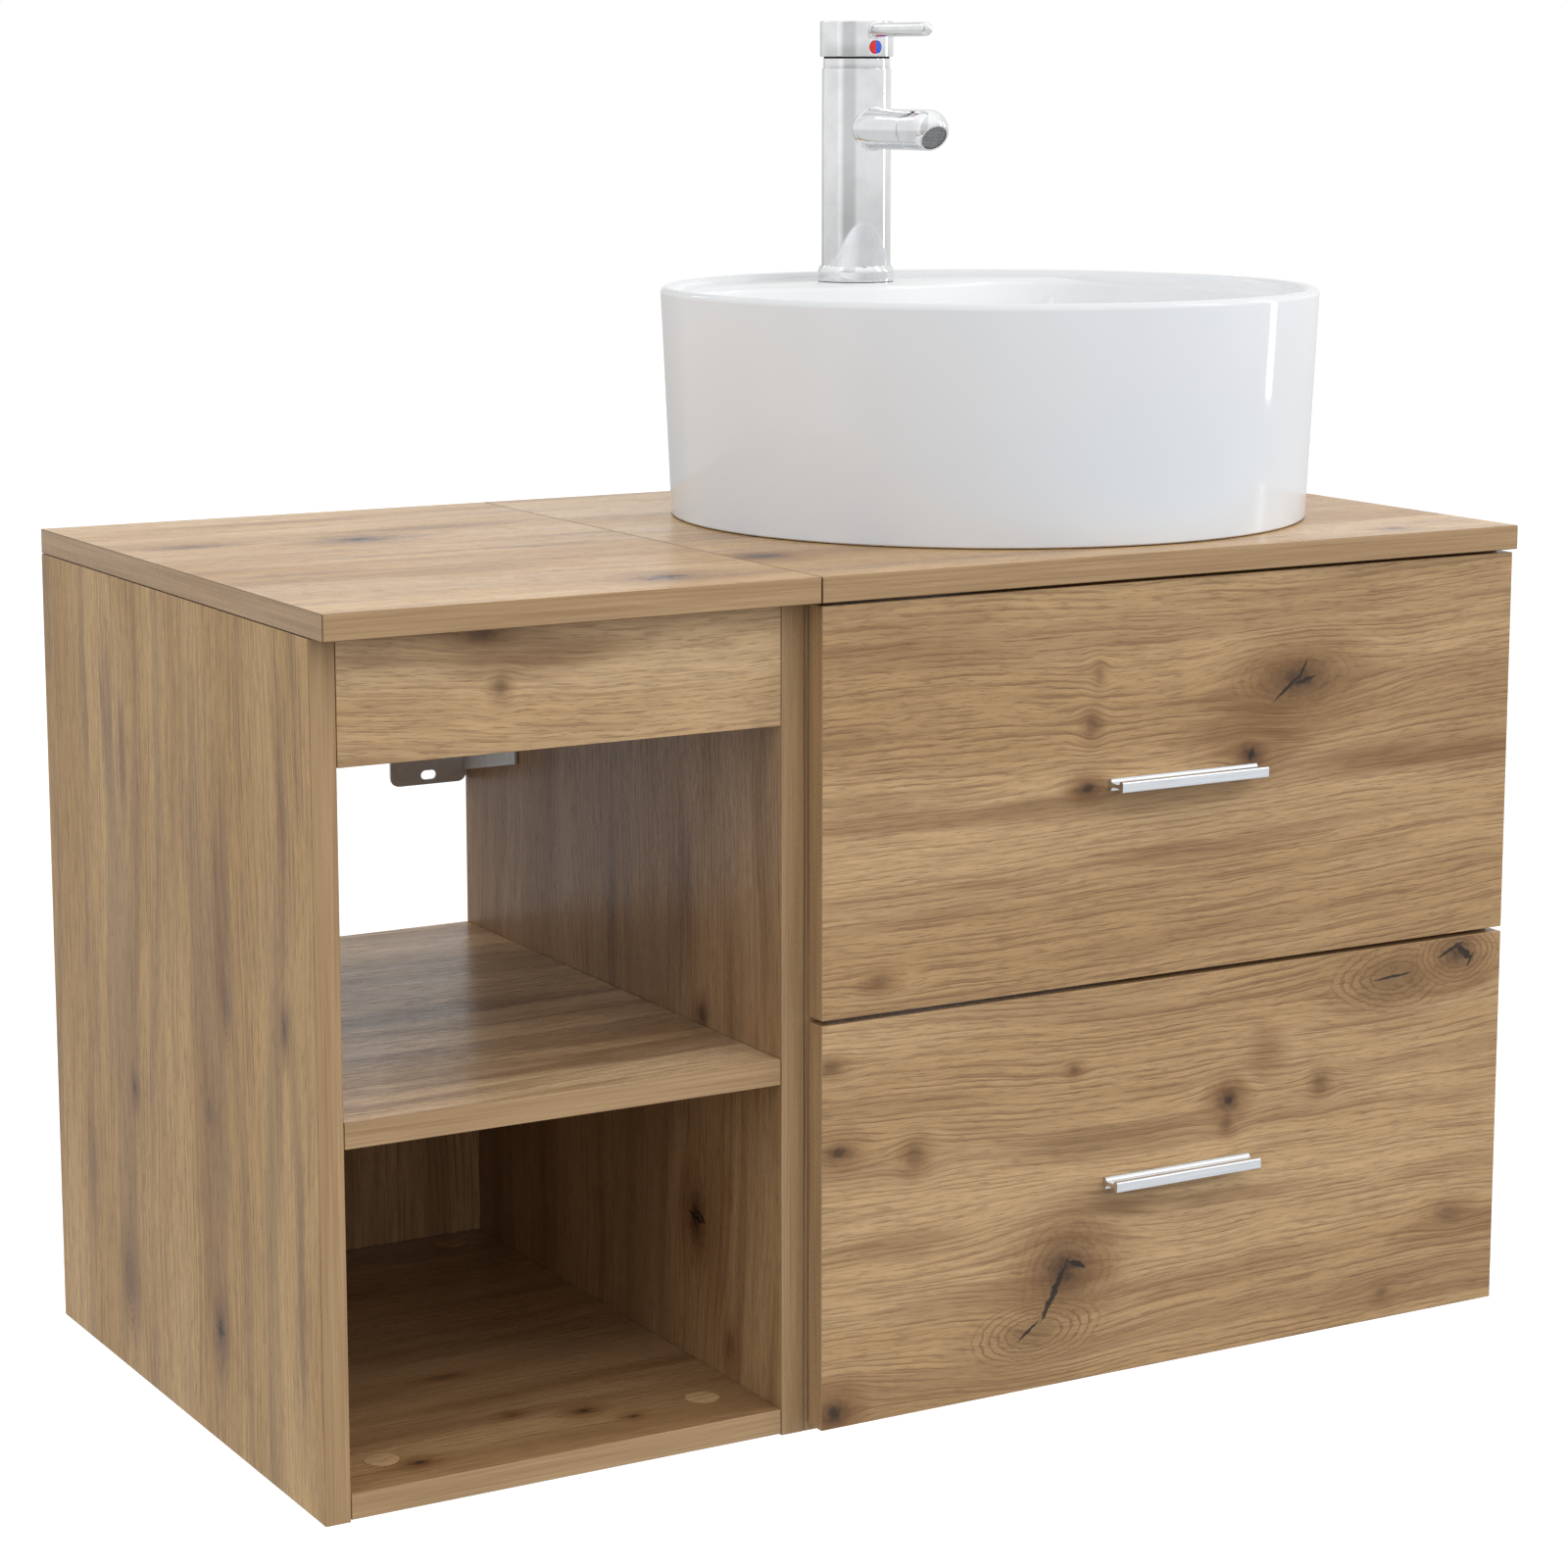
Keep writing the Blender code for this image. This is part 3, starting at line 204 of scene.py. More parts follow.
# A knot is (along, across, half length, half width, darkness, cracks), and a crack is
# (along, across, half length, half width, angle in degrees), both in millimetres on the board.
# Lines flow round a knot, and a long one has rings. None for the cracks makes a soft brown stain,
# which the lines run straight through.
KNOTS = {
    "upper_drawer_front": [
        (84, -34, 24, 12, 0.6, [(-6, -3, 17, 1.5, 38), (5, -1, 9, 2.2, 15), (3, 5, 9, 1.2, 62)]),
        (50, -77, 9, 7, 0.8, [(0, 0, 5, 1.4, 80)]),
        (-68, -87, 8, 5, 0.7, []),
        (-66, -50, 4, 6, 0.4, []),
        (-61, -20, 3, 5, 0.3, []),
        (-210, -186, 7, 4, 0.45, []),
        (48, -62, 42, 20, 0.6, None),
        (84, -34, 46, 22, 0.4, None),
        (150, -86, 45, 8, 0.45, None),
        (215, -90, 70, 8, 0.5, None),
        (-215, 18, 80, 13, 0.33, None),
        (-205, -92, 80, 8, 0.3, None),
        (20, -128, 70, 8, 0.25, None),
        (-120, -140, 60, 6, 0.15, None),
    ],
    "lower_drawer_front": [
        (-81, -377, 20, 18, 0.6, [(-6, -11, 24, 2.6, 62), (9, 2, 8, 2.8, -20)]),
        (-103, -413, 24, 10, 0.3, [(-3, 2, 11, 1.2, 35)]),
        (162, -228, 26, 13, 0.35, [(0, 1, 17, 1.1, 4)]),
        (214, -218, 16, 12, 0.55, [(-6, 3, 13, 1.6, 22), (5, 0, 9, 3.0, -35), (10, -5, 6, 1.2, 60)]),
        (-240, -438, 10, 9, 0.75, []),
        (38, -289, 8, 7, 0.8, []),
        (37, -303, 4, 5, 0.45, []),
        (-237, -283, 10, 6, 0.55, []),
        (-186, -292, 6, 7, 0.42, []),
        (-243, -232, 7, 4, 0.5, []),
        (-75, -255, 4, 3, 0.5, []),
        (108, -288, 5, 6, 0.4, []),
        (212, -387, 11, 6, 0.42, []),
        (160, -430, 5, 4, 0.4, []),
        (-60, -342, 45, 14, 0.5, None),
        (66, -262, 14, 16, 0.4, None),
        (205, -228, 50, 18, 0.45, None),
        (-85, -390, 45, 26, 0.35, None),
        (215, -395, 60, 8, 0.35, None),
        (-190, -345, 50, 10, 0.3, None),
    ],
    "open_fascia": [
        (-450, 30, 9, 4, 0.5, []),
        (-439, 1, 4, 5, 0.45, []),
        (-415, 14, 50, 8, 0.45, None),
    ],
    "open_top": [
        (-402, -147, 18, 12, 0.95, [(0, 0, 13, 4.5, 5)]),
        (-504, -134, 16, 6, 0.55, []),
        (-326, -394, 18, 12, 0.6, [(-3, -1, 14, 2.6, 28), (6, 3, 10, 2.2, -25), (2, -4, 8, 1.8, 70)]),
        (-345, -112, 60, 9, 0.6, None),
        (-402, -147, 50, 12, 0.45, None),
        (-400, -310, 70, 10, 0.4, None),
        (-500, -283, 40, 9, 0.4, None),
        (-317, -228, 30, 12, 0.35, None),
        (-470, -385, 40, 7, 0.35, None),
    ],
    "sink_top": [
        (-233, -340, 16, 12, 0.95, [(0, 0, 11, 4.5, 5)]),
        (-200, -242, 60, 14, 0.45, None),
        (-190, -338, 50, 10, 0.4, None),
        (172, -414, 9, 6, 0.6, [(0, 0, 6, 1.4, 15)]),
        (215, -400, 30, 12, 0.35, None),
    ],
    "open_side_left": [
        (-270, -384, 13, 6, 0.75, [(0, 0, 8, 1.6, 80)]),
        (-139, -271, 7, 4, 0.65, []),
        (-375, -184, 10, 4, 0.6, []),
        (-289, -188, 14, 5, 0.5, []),
        (-122, -394, 18, 8, 0.5, []),
        (-260, -258, 8, 4, 0.5, []),
        (-63, -341, 45, 9, 0.6, None),
        (-108, -45, 60, 9, 0.55, None),
        (-134, -71, 30, 9, 0.5, None),
        (-285, -130, 75, 11, 0.6, None),
        (-255, -300, 80, 7, 0.45, None),
        (-375, -60, 70, 9, 0.5, None),
        (-390, -330, 90, 8, 0.45, None),
    ],
    "open_side_right": [
        (-315, -348, 15, 9, 0.8, [(0, 0, 10, 2.2, 80), (2, -7, 7, 1.6, 55)]),
        (-324, -222, 6, 5, 0.7, []),
        (-357, -415, 10, 6, 0.45, []),
        (-328, -451, 6, 4, 0.5, []),
        (-210, -160, 60, 6, 0.7, None),
        (-298, -150, 55, 14, 0.6, None),
        (-120, -130, 60, 9, 0.4, None),
        (-340, -350, 60, 20, 0.4, None),
    ],
    "open_shelf": [
        (-385, -215, 90, 14, 0.6, None),
        (-370, -370, 80, 8, 0.45, None),
        (-330, -95, 60, 10, 0.35, None),
        (-470, -300, 50, 8, 0.3, None),
    ],
    "open_bottom": [
        (-366, -364, 8, 5, 0.75, []),
        (-345, -386, 6, 4, 0.6, []),
        (-483, -393, 8, 5, 0.75, []),
        (-405, -349, 5, 4, 0.5, []),
        (-411, -271, 10, 3, 0.5, []),
        (-400, -220, 80, 9, 0.4, None),
    ],
    "sink_side_right": [
        (-200, -120, 16, 9, 0.6, [(0, 0, 8, 1.5, 75)]),
        (-330, -330, 12, 7, 0.55, []),
        (-90, -260, 9, 5, 0.5, []),
        (-350, -130, 80, 10, 0.55, None),
        (-140, -380, 70, 9, 0.5, None),
        (-250, -300, 90, 8, 0.45, None),
    ],
}

RINGED = 12  # a knot with a greater half length than this has rings
AXES = "XYZ"


def oval(g, u, v, along, across, length, width):
    """The square of the distance from an oval's middle, in its own half sizes, and the plain
    distance across from its middle."""
    du = g.product(g.calc("SUBTRACT", u, along), 1 / length)
    dv = g.calc("SUBTRACT", v, across)
    scaled = g.product(dv, 1 / width)
    square = g.total(g.product(du, du), g.product(scaled, scaled))
    return square, dv


def crack_mask(g, u, v, wander, along, across, length, width, angle):
    """A dark split: a tapered line at an angle, its sides roughened."""
    turn = math.radians(angle)
    du = g.calc("SUBTRACT", u, along)
    dv = g.calc("SUBTRACT", v, across)
    lengthwise = g.total(
        g.product(du, math.cos(turn) / length),
        g.product(dv, math.sin(turn) / length),
    )
    sideways = g.total(
        g.product(du, -math.sin(turn) / width),
        g.product(dv, math.cos(turn) / width),
        g.product(wander, 1.6),
    )
    reach = g.product(lengthwise, lengthwise)
    spread = g.calc("ABSOLUTE", sideways)
    return g.fit(g.total(spread, g.product(reach, 0.9)), 0.55, 1.0, 1.0, 0.0)


def stroke(g, phase):
    """A dark line at each whole number, sharp on one side and fading on the other."""
    saw = g.calc("FRACT", phase)
    return g.product(g.fit(saw, 0.0, 0.07), g.fit(saw, 0.07, 0.50, 1.0, 0.0))


def growth_lines(g, line, flow, density, seed):
    """Thin dark lines along the grain, so many a metre, broken here and there."""
    spacing = g.noise(flow, (1.5, 30, 6), 1.0, offset=(seed, 8, 0))
    phase = g.total(g.product(line, density), g.product(spacing, 3.2))
    broken = g.noise(flow, (17, density / 2, 20), 2.0, offset=(seed, 6, 0))
    return g.product(stroke(g, phase), g.fit(broken, 0.40, 0.62))


def oak(
    name, axes, seed, knots=(), tones=OAK_PALE, banding=0.3, lines=0.75, arris=OAK_PORE, joint=0.0
):
    """Oak laminate. Its face shows the grain, with knots that the lines flow round, and its edges
    show a band of fine straight grain. axes are the board's grain, across and normal directions.
    banding and lines say how strong its broad brown bands and its growth lines are, arris is the
    colour of its edges' line, and joint is how dark its ends' edges are painted, as shade of the gap
    where boards butt."""
    g = Graph(name)
    place = g.parts(g.place())
    facing = [g.calc("ABSOLUTE", value) for value in g.parts(g.facing())]
    grain, across, normal = (AXES.index(axis) for axis in axes)
    u, v, w = place[grain], place[across], place[normal]
    board = g.join(u, v, g.total(g.product(w, 3.0), seed))

    # Across the grain, drawn out of line by slow drift, by wobble and by fine ripple
    drift = g.noise(board, (1.6, 4.0, 4.0), 1.0)
    wobble = g.noise(board, (11, 26, 26), 1.0, offset=(3, 5, 0))
    ripple = g.noise(board, (120, 120, 50), 1.0, offset=(7, 1, 0))
    line = g.total(
        v,
        g.product(g.calc("SUBTRACT", drift, 0.5), 0.075),
        g.product(g.calc("SUBTRACT", wobble, 0.5), 0.007),
        g.product(g.calc("SUBTRACT", ripple, 0.5), 0.0010),
    )

    halo = brown = black = 0.0
    swirls = []
    stains = [knot for knot in knots if knot[5] is None]
    knots = [knot for knot in knots if knot[5] is not None]
    wander = g.calc("SUBTRACT", g.noise(board, (260, 260, 50), 2.0), 0.5)
    for along, side, length, width, darkness, cracks in knots:
        centre = (along * MM, side * MM)
        square, dv = oval(g, u, v, *centre, 2.6 * length * MM, 1.9 * width * MM)
        pull = g.calc("POWER", math.e, g.product(square, -1.0))
        line = g.calc("SUBTRACT", line, g.product(dv, pull, 0.55 + 0.45 * darkness))
        square, dv = oval(g, u, v, *centre, length * MM, width * MM)
        ring = g.total(g.calc("SQRT", square), g.product(wander, 0.7))
        stain = g.fit(ring, 0.2, 1.5, min(1.25 * darkness, 1.0), 0.0)
        brown = g.calc("MAXIMUM", brown, stain)
        glow = g.fit(ring, 0.8, 3.2, min(1.4 * darkness, 1.0), 0.0)
        halo = g.calc("MAXIMUM", halo, glow)
        if length > RINGED:
            bent = g.product(g.calc("SUBTRACT", wobble, 0.5), 1.3)
            eddy = g.total(g.calc("SQRT", square), g.product(wander, 0.25), bent)
            strength = 1.0 if darkness < 0.58 else 0.4
            within = g.product(g.fit(eddy, 0.3, 0.6), g.fit(eddy, 1.4, 2.3, strength, 0.0))
            swirls.append((within, stroke(g, g.product(eddy, 3.4))))
        if darkness > 0.5:
            core = g.fit(ring, 0.1, 0.62, darkness, 0.0)
            black = g.calc("MAXIMUM", black, core)
        for crack in cracks:
            middle = ((along + crack[0]) * MM, (side + crack[1]) * MM)
            mask = crack_mask(g, u, v, wander, *middle, crack[2] * MM, crack[3] * MM, crack[4])
            black = g.calc("MAXIMUM", black, mask)

    flow = g.join(u, line, g.total(w, seed))
    tone = g.noise(flow, (2.0, 15, 6), 3.0, 0.55)
    wisp = g.noise(flow, (10, 130, 20), 3.0, 0.6, offset=(2, 7, 0))
    for along, side, length, width, darkness, _ in stains:
        square, _ = oval(g, u, v, along * MM, side * MM, length * MM, width * MM)
        ring = g.total(g.calc("SQRT", square), g.product(wisp, 1.8))
        glow = g.fit(ring, 1.15, 2.5, min(1.6 * darkness, 1.0), 0.0)
        halo = g.calc("MAXIMUM", halo, glow)
    streak = g.noise(flow, (3.0, 42, 20), 2.0, offset=(9, 4, 0))
    broad = g.noise(flow, (2.2, 34, 6), 2.0, offset=(5, 2, 0))
    coarse = growth_lines(g, line, flow, 165, 1)
    late = g.calc("MAXIMUM", coarse, growth_lines(g, line, flow, 290, 5))
    late = g.product(late, g.fit(tone, 0.25, 0.6, 0.45, 1.0))
    for within, rings in swirls:
        late = g.blend(within, late, rings)
    pores = g.fit(g.noise(flow, (75, 1150, 200), 2.0, 0.6), 0.50, 0.68)
    fibre = g.noise(flow, (30, 420, 100), 2.0, 0.6, offset=(4, 4, 0))

    colour = g.mix(g.fit(tone, 0.35, 0.65), *tones)
    colour = g.mix(g.fit(streak, 0.54, 0.76, 0.0, 0.6), colour, OAK_STREAK)
    colour = g.mix(g.fit(broad, 0.50, 0.64, 0.0, banding), colour, OAK_STREAK)
    colour = g.mix(g.product(late, lines), colour, OAK_DARK)
    colour = g.mix(g.fit(fibre, 0.3, 0.75, 0.0, 0.25), colour, OAK_DARK)
    colour = g.mix(g.product(pores, 0.42), colour, OAK_PORE)
    ragged = g.fit(wisp, 0.25, 0.7, 1.0, 0.55)
    colour = g.mix(g.product(halo, ragged, 0.95), colour, HALO_BROWN)
    colour = g.mix(g.product(brown, 0.8), colour, KNOT_BROWN)
    colour = g.mix(g.product(black, 0.9), colour, KNOT_BLACK)

    # Edge band, its grain along the edge
    onto_end = g.fit(facing[grain], 0.5, 0.6)
    lengthwise = g.total(
        g.product(v, onto_end),
        g.product(u, g.calc("SUBTRACT", 1.0, onto_end)),
    )
    edge = g.join(lengthwise, g.total(w, seed), 0.0)
    band_fibre = g.noise(edge, (9, 700, 1), 3.0, 0.6)
    band_tone = g.noise(edge, (5, 120, 1), 2.0, offset=(3, 3, 0))
    band_colour = g.mix(g.fit(band_tone, 0.3, 0.7), BAND_LIGHT, BAND_MID)
    band_colour = g.mix(g.fit(band_fibre, 0.35, 0.72, 0.05, 0.45), band_colour, OAK_DARK)
    on_edge = g.fit(facing[normal], 0.45, 0.75, 1.0, 0.0)
    colour = g.mix(on_edge, colour, band_colour)

    # The arrises: a thin dark line where the edge band starts, or a worn one on the fronts, and at
    # the ends of boards that butt together a darker one, painted shade standing in for the gap between
    # them
    strongest = g.calc("MAXIMUM", *facing)
    colour = g.mix(g.fit(strongest, 0.78, 0.99, 0.6, 0.0), colour, arris)
    if joint:
        # Painted shade: the end arrises darken for the shadow in the gap where the tops butt (outer ends
        # too)
        at_end = g.fit(facing[grain], 0.30, 0.38)
        colour = g.mix(g.product(g.fit(strongest, 0.93, 0.99, joint, 0.0), at_end), colour, OAK_PORE)

    height = g.total(
        g.product(late, -0.6),
        g.product(pores, -0.35),
        g.product(fibre, 0.5),
        g.product(black, -1.0),
    )
    g.bump(height, 0.25 * MM, 0.55)
    rough = g.fit(g.total(tone, g.product(pores, 0.4)), 0.2, 1.1, 0.20, 0.42)
    return g.surface(Base_Color=colour, Roughness=rough, IOR=1.38)


LEVELS = ("upper", "lower")
SIDES = ("left", "right")

# Grain, across and normal axes of each kind of board
BOARDS = {
    "XYZ": ["open_top", "sink_top", "open_shelf", "open_bottom", "sink_bottom"],
    "XZY": [
        "open_fascia",
        "open_back_rail",
        "sink_back_rail",
        "upper_drawer_front",
        "lower_drawer_front",
        "upper_drawer_back_left",
        "upper_drawer_back_right",
        "lower_drawer_back",
    ],
    "ZXY": ["open_back_panel"],
    "ZYX": ["open_side_left", "open_side_right", "sink_side_left", "sink_side_right"],
    "YZX": [f"{level}_drawer_side_{side}" for level in LEVELS for side in SIDES],
}
BOX_PANELS = ["upper_drawer_bottom", "lower_drawer_bottom", "upper_drawer_trap_well"]

# How a board differs from the rest: its broad bands, its two tones, its growth lines. Some tone
# pairs are painted light or shade, copies of one oak made lighter (fascia, shelf) or darker (tops,
# outer left side, inner right side, bottom) for how light falls there; the fascia's weak bands
# are painted light too
BANDING = {"open_shelf": 0.5, "open_bottom": 0.5, "open_fascia": 0.1}
TONES = {
    "open_side_left": OAK_SHADED_LEFT_SIDE,
    "open_fascia": OAK_LIT_FASCIA_SHELF,
    "open_shelf": OAK_LIT_FASCIA_SHELF,
    "open_top": OAK_SHADED_TOPS,
    "sink_top": OAK_SHADED_TOPS,
    "open_side_right": OAK_SHADED_INSIDE,
    "open_bottom": OAK_SHADED_INSIDE,
}
LINES = {"open_fascia": 0.4, "open_top": 0.6, "sink_top": 0.6}
ARRIS = 0.5 * MM
TOP_ARRIS = 0.8 * MM


def dress(node, material, arris=0.0):
    """A CAD node keeps its shape: it gets its material and, by modifiers, softened edges."""
    part = NODES[node]
    part.data.materials.clear()
    part.data.materials.append(material)
    if not arris:
        return
    weld = part.modifiers.new("Weld", "WELD")
    weld.merge_threshold = 0.01 * MM
    bevel = part.modifiers.new("Arris", "BEVEL")
    bevel.width = arris
    bevel.segments = 2
    bevel.limit_method = "ANGLE"
    bevel.angle_limit = math.radians(40)
    bevel.harden_normals = True


def dress_boards():
    seed = 0.0
    for axes, names in BOARDS.items():
        for name in names:
            seed += 1.37
            knots = KNOTS.get(name, ())
            upright = axes[0] == "Z"
            if upright:
                knots = [(k[1], k[0], *k[2:]) for k in knots]
            banding = BANDING.get(name, 0.5 if upright else 0.3)
            edge = BAND_MID if name.endswith("_front") else OAK_PORE
            top = name.endswith("_top")
            tones = TONES.get(name, OAK_PALE)
            lines = LINES.get(name, 0.75)
            # The tops get painted shade on their end arrises, for the gap where they butt
            joint = 1.0 if top else 0.0
            look = oak("oak_" + name, axes, seed, knots, tones, banding, lines, edge, joint)
            dress(name, look, TOP_ARRIS if top else ARRIS)
    panel = oak("oak_box_panels", "XYZ", 31.0)
    for name in BOX_PANELS:
        dress(name, panel, ARRIS)


# Other materials


def round_node(node):
    """An upright round CAD node's centre, radius, foot and top."""
    low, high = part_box(node)
    centre = ((low.x + high.x) / 2, (low.y + high.y) / 2)
    return centre, (high.x - low.x) / 2, low.z, high.z


def plain(name, colour, roughness, metallic, scale=60.0, depth=0.02):
    """A finish with a little unevenness in colour and gloss and a faint relief."""
    g = Graph(name)
    place = g.place()
    patches = g.noise(place, scale, 3.0)
    speckle = g.noise(place, scale * 12, 2.0)
    darker = (*[c * 0.88 for c in colour[:3]], 1)
    dull = g.fit(g.total(patches, g.product(speckle, 0.4)), 0.4, 0.95)
    tint = g.mix(dull, colour, darker)
    gloss = g.fit(patches, 0.3, 0.7, roughness * 0.85, roughness * 1.2)
    g.bump(speckle, depth * MM, 0.5)
    return g.surface(Base_Color=tint, Roughness=gloss, Metallic=metallic)


def ceramic():
    """White glaze with painted shade: cooler towards the foot, greyer inside the bowl and darker grey
    where it faces up, and the bare clay of the ring that the basin stands on."""
    g = Graph("glazed_ceramic")
    place = g.place()
    wave = g.noise(place, 5.0, 0.0)
    speck = g.noise(place, 900.0, 1.0)
    cloud = g.noise(place, 14.0, 1.0)
    middle, rim, foot_z, _ = round_node("basin")
    x, y, height = g.parts(place)
    level = g.parts(g.facing())[2]
    bowl = rim - 9 * MM
    square, _ = oval(g, x, y, *middle, bowl, bowl)
    within = g.fit(square, 0.99, 1.01, 1.0, 0.0)
    glaze = g.mix(g.fit(cloud, 0.3, 0.7), linear(235, 238, 242), linear(233, 236, 240))
    # Painted shade: the outer wall is painted a cooler, bluer white towards the foot, fading out 110 mm
    # up
    glaze = g.mix(g.fit(height, foot_z, foot_z + 0.11, 0.85, 0.0), glaze, linear(229, 238, 248))
    # Painted shade: inside the bowl the glaze is painted a greyer, less cool white
    glaze = g.mix(within, glaze, linear(233, 234, 235))
    # Painted shade: where the glaze faces up, on the deck, rim and bowl floor, it is painted a darker
    # grey
    glaze = g.mix(g.fit(level, 0.1, 0.9), glaze, linear(208, 209, 210))
    foot = g.fit(height, foot_z + 0.6 * MM, foot_z + 1.0 * MM, 1.0, 0.0)
    clay = g.mix(g.fit(speck, 0.4, 0.7), linear(214, 208, 198), linear(188, 180, 168))
    colour = g.mix(foot, glaze, clay)
    gloss = g.total(g.fit(cloud, 0.3, 0.7, 0.05, 0.08), g.product(foot, 0.6))
    relief = g.total(wave, g.product(speck, foot, 0.2))
    g.bump(relief, 0.15 * MM, 0.25)
    return g.surface(Base_Color=colour, Roughness=gloss, IOR=1.52)


def chrome():
    g = Graph("chrome")
    place = g.place()
    smudge = g.noise(place, 70.0, 3.0)
    wave = g.noise(place, 22.0, 1.0)
    tint = g.mix(g.fit(smudge, 0.35, 0.75), linear(236, 237, 238), linear(226, 227, 228))
    g.bump(wave, 0.12 * MM, 0.2)
    gloss = g.fit(smudge, 0.35, 0.75, 0.035, 0.10)
    return g.surface(Base_Color=tint, Roughness=gloss, Metallic=1.0)


def aluminium():
    """Satin anodised, brushed along the handle."""
    g = Graph("satin_aluminium")
    place = g.place()
    lines = g.noise(place, (40, 2600, 2600), 2.0)
    cloud = g.noise(place, (20, 60, 60), 2.0)
    tint = g.mix(g.fit(lines, 0.3, 0.7), linear(242, 246, 250), linear(226, 231, 237))
    g.bump(lines, 0.02 * MM, 0.5)
    gloss = g.fit(cloud, 0.3, 0.7, 0.28, 0.42)
    return g.surface(Base_Color=tint, Roughness=gloss, Metallic=1.0)


def zinc():
    """Zinc plating with its faint mottled crystals."""
    g = Graph("zinc_plated_steel")
    place = g.place()
    cells = g.add("TexVoronoi", {"Vector": place, "Scale": 260.0}).outputs["Color"]
    flake = g.parts(cells)[0]
    cloud = g.noise(place, 45.0, 3.0)
    tint = g.mix(flake, linear(228, 230, 232), linear(217, 220, 223))
    tint = g.mix(g.fit(cloud, 0.4, 0.7, 0.0, 0.5), tint, linear(204, 207, 210))
    g.bump(cloud, 0.05 * MM, 0.4)
    rough = g.total(g.fit(cloud, 0.3, 0.7, 0.30, 0.45), g.product(flake, 0.08))
    return g.surface(Base_Color=tint, Roughness=rough, Metallic=0.3)


def indicator(middle_x):
    """Glossy plastic, red for hot on the left and blue for cold on the right."""
    g = Graph("indicator_plastic")
    place = g.place()
    across = g.parts(place)[0]
    side = g.fit(across, middle_x - 0.1 * MM, middle_x + 0.1 * MM)
    cloud = g.noise(place, 900.0, 2.0)
    tint = g.mix(side, linear(232, 26, 12), linear(30, 92, 226))
    tint = g.mix(g.fit(cloud, 0.4, 0.8, 0.0, 0.06), tint, linear(240, 240, 240))
    g.bump(cloud, 0.01 * MM, 0.3)
    return g.surface(Base_Color=tint, Roughness=g.fit(cloud, 0.3, 0.7, 0.12, 0.2))


def aerator_screen():
    """A woven screen, its wires lighter than the holes between them, which are painted dark as the
    shade seen through them, in the outlet's slanted face.
    """
    g = Graph("aerator_screen")
    place = g.place()
    x, y, z = g.parts(place)
    along = g.total(
        g.product(y, -math.sin(OUTLET_ANGLE)),
        g.product(z, math.cos(OUTLET_ANGLE)),
    )
    wires = []
    for across in (x, along):
        wave = g.calc("SINE", g.product(across, 2 * math.pi / SCREEN_PITCH))
        wires.append(g.fit(wave, 0.1, 0.9))
    weave = g.calc("MAXIMUM", *wires)
    cloud = g.noise(place, 500.0, 2.0)
    # Painted shade: the holes between the wires are painted dark grey
    tint = g.mix(weave, linear(84, 85, 87), linear(168, 169, 171))
    tint = g.mix(g.fit(cloud, 0.4, 0.8, 0.0, 0.3), tint, linear(84, 85, 88))
    g.bump(g.total(weave, g.product(cloud, 0.2)), 0.15 * MM, 0.8)
    return g.surface(Base_Color=tint, Roughness=g.fit(cloud, 0.3, 0.7, 0.3, 0.5), Metallic=0.3)


# Shapes


def filleted(corners, steps=5):
    """A closed outline of (x, y, radius) corners, each replaced with an arc of its radius."""
    points = []
    count = len(corners)
    for i, (x, y, radius) in enumerate(corners):
        here = Vector((x, y))
        if not radius:
            points.append(here)
            continue
        before = (Vector(corners[i - 1][:2]) - here).normalized()
        after = (Vector(corners[(i + 1) % count][:2]) - here).normalized()
        half = before.angle(after) / 2
        reach = radius / math.tan(half)
        centre = here + (before + after).normalized() * (radius / math.sin(half))
        start = here + before * reach - centre
        end = here + after * reach - centre
        sweep = start.angle(end)
        for k in range(steps + 1):
            share = k / steps
            first = math.sin((1 - share) * sweep) / math.sin(sweep)
            second = math.sin(share * sweep) / math.sin(sweep)
            points.append(centre + start * first + end * second)
    return points


def finish_mesh(name, shape, material, sharp=35):
    bmesh.ops.recalc_face_normals(shape, faces=shape.faces)
    mesh = bpy.data.meshes.new(name)
    shape.to_mesh(mesh)
    shape.free()
    mesh.shade_smooth()
    mesh.set_sharp_from_angle(angle=math.radians(sharp))
    mesh.materials.append(material)
    piece = bpy.data.objects.new(name, mesh)
    bpy.context.scene.collection.objects.link(piece)
    return piece


def circle(count):
    """The (cosine, sine) of so many equal steps round a circle."""
    turns = [2 * math.pi * j / count for j in range(count)]
    return [(math.cos(turn), math.sin(turn)) for turn in turns]


def span(shape, ring, following):
    """Faces between two rings of points, where a ring may be one point."""
    count = max(len(ring), len(following))
    for j in range(count):
        k = (j + 1) % count
        corners = [ring[j % len(ring)], ring[k % len(ring)]]
        corners += [following[k % len(following)], following[j % len(following)]]
        corners = list(dict.fromkeys(corners))
        if len(corners) > 2:
            shape.faces.new(corners)


def turned(name, profile, centre, material, segments=FINE):
    """A closed (radius, height) profile turned about a vertical axis. centre is (x, y)."""
    shape = bmesh.new()
    rings = []
    for radius, height in profile:
        if radius < 1e-7:
            rings.append([shape.verts.new((*centre, height))])
            continue
        ring = []
        for x, y in circle(segments):
            point = (centre[0] + radius * x, centre[1] + radius * y, height)
            ring.append(shape.verts.new(point))
        rings.append(ring)
    for ring, following in zip(rings, rings[1:] + rings[:1]):
        if len(ring) > 1 or len(following) > 1:
            span(shape, ring, following)
    return finish_mesh(name, shape, material)


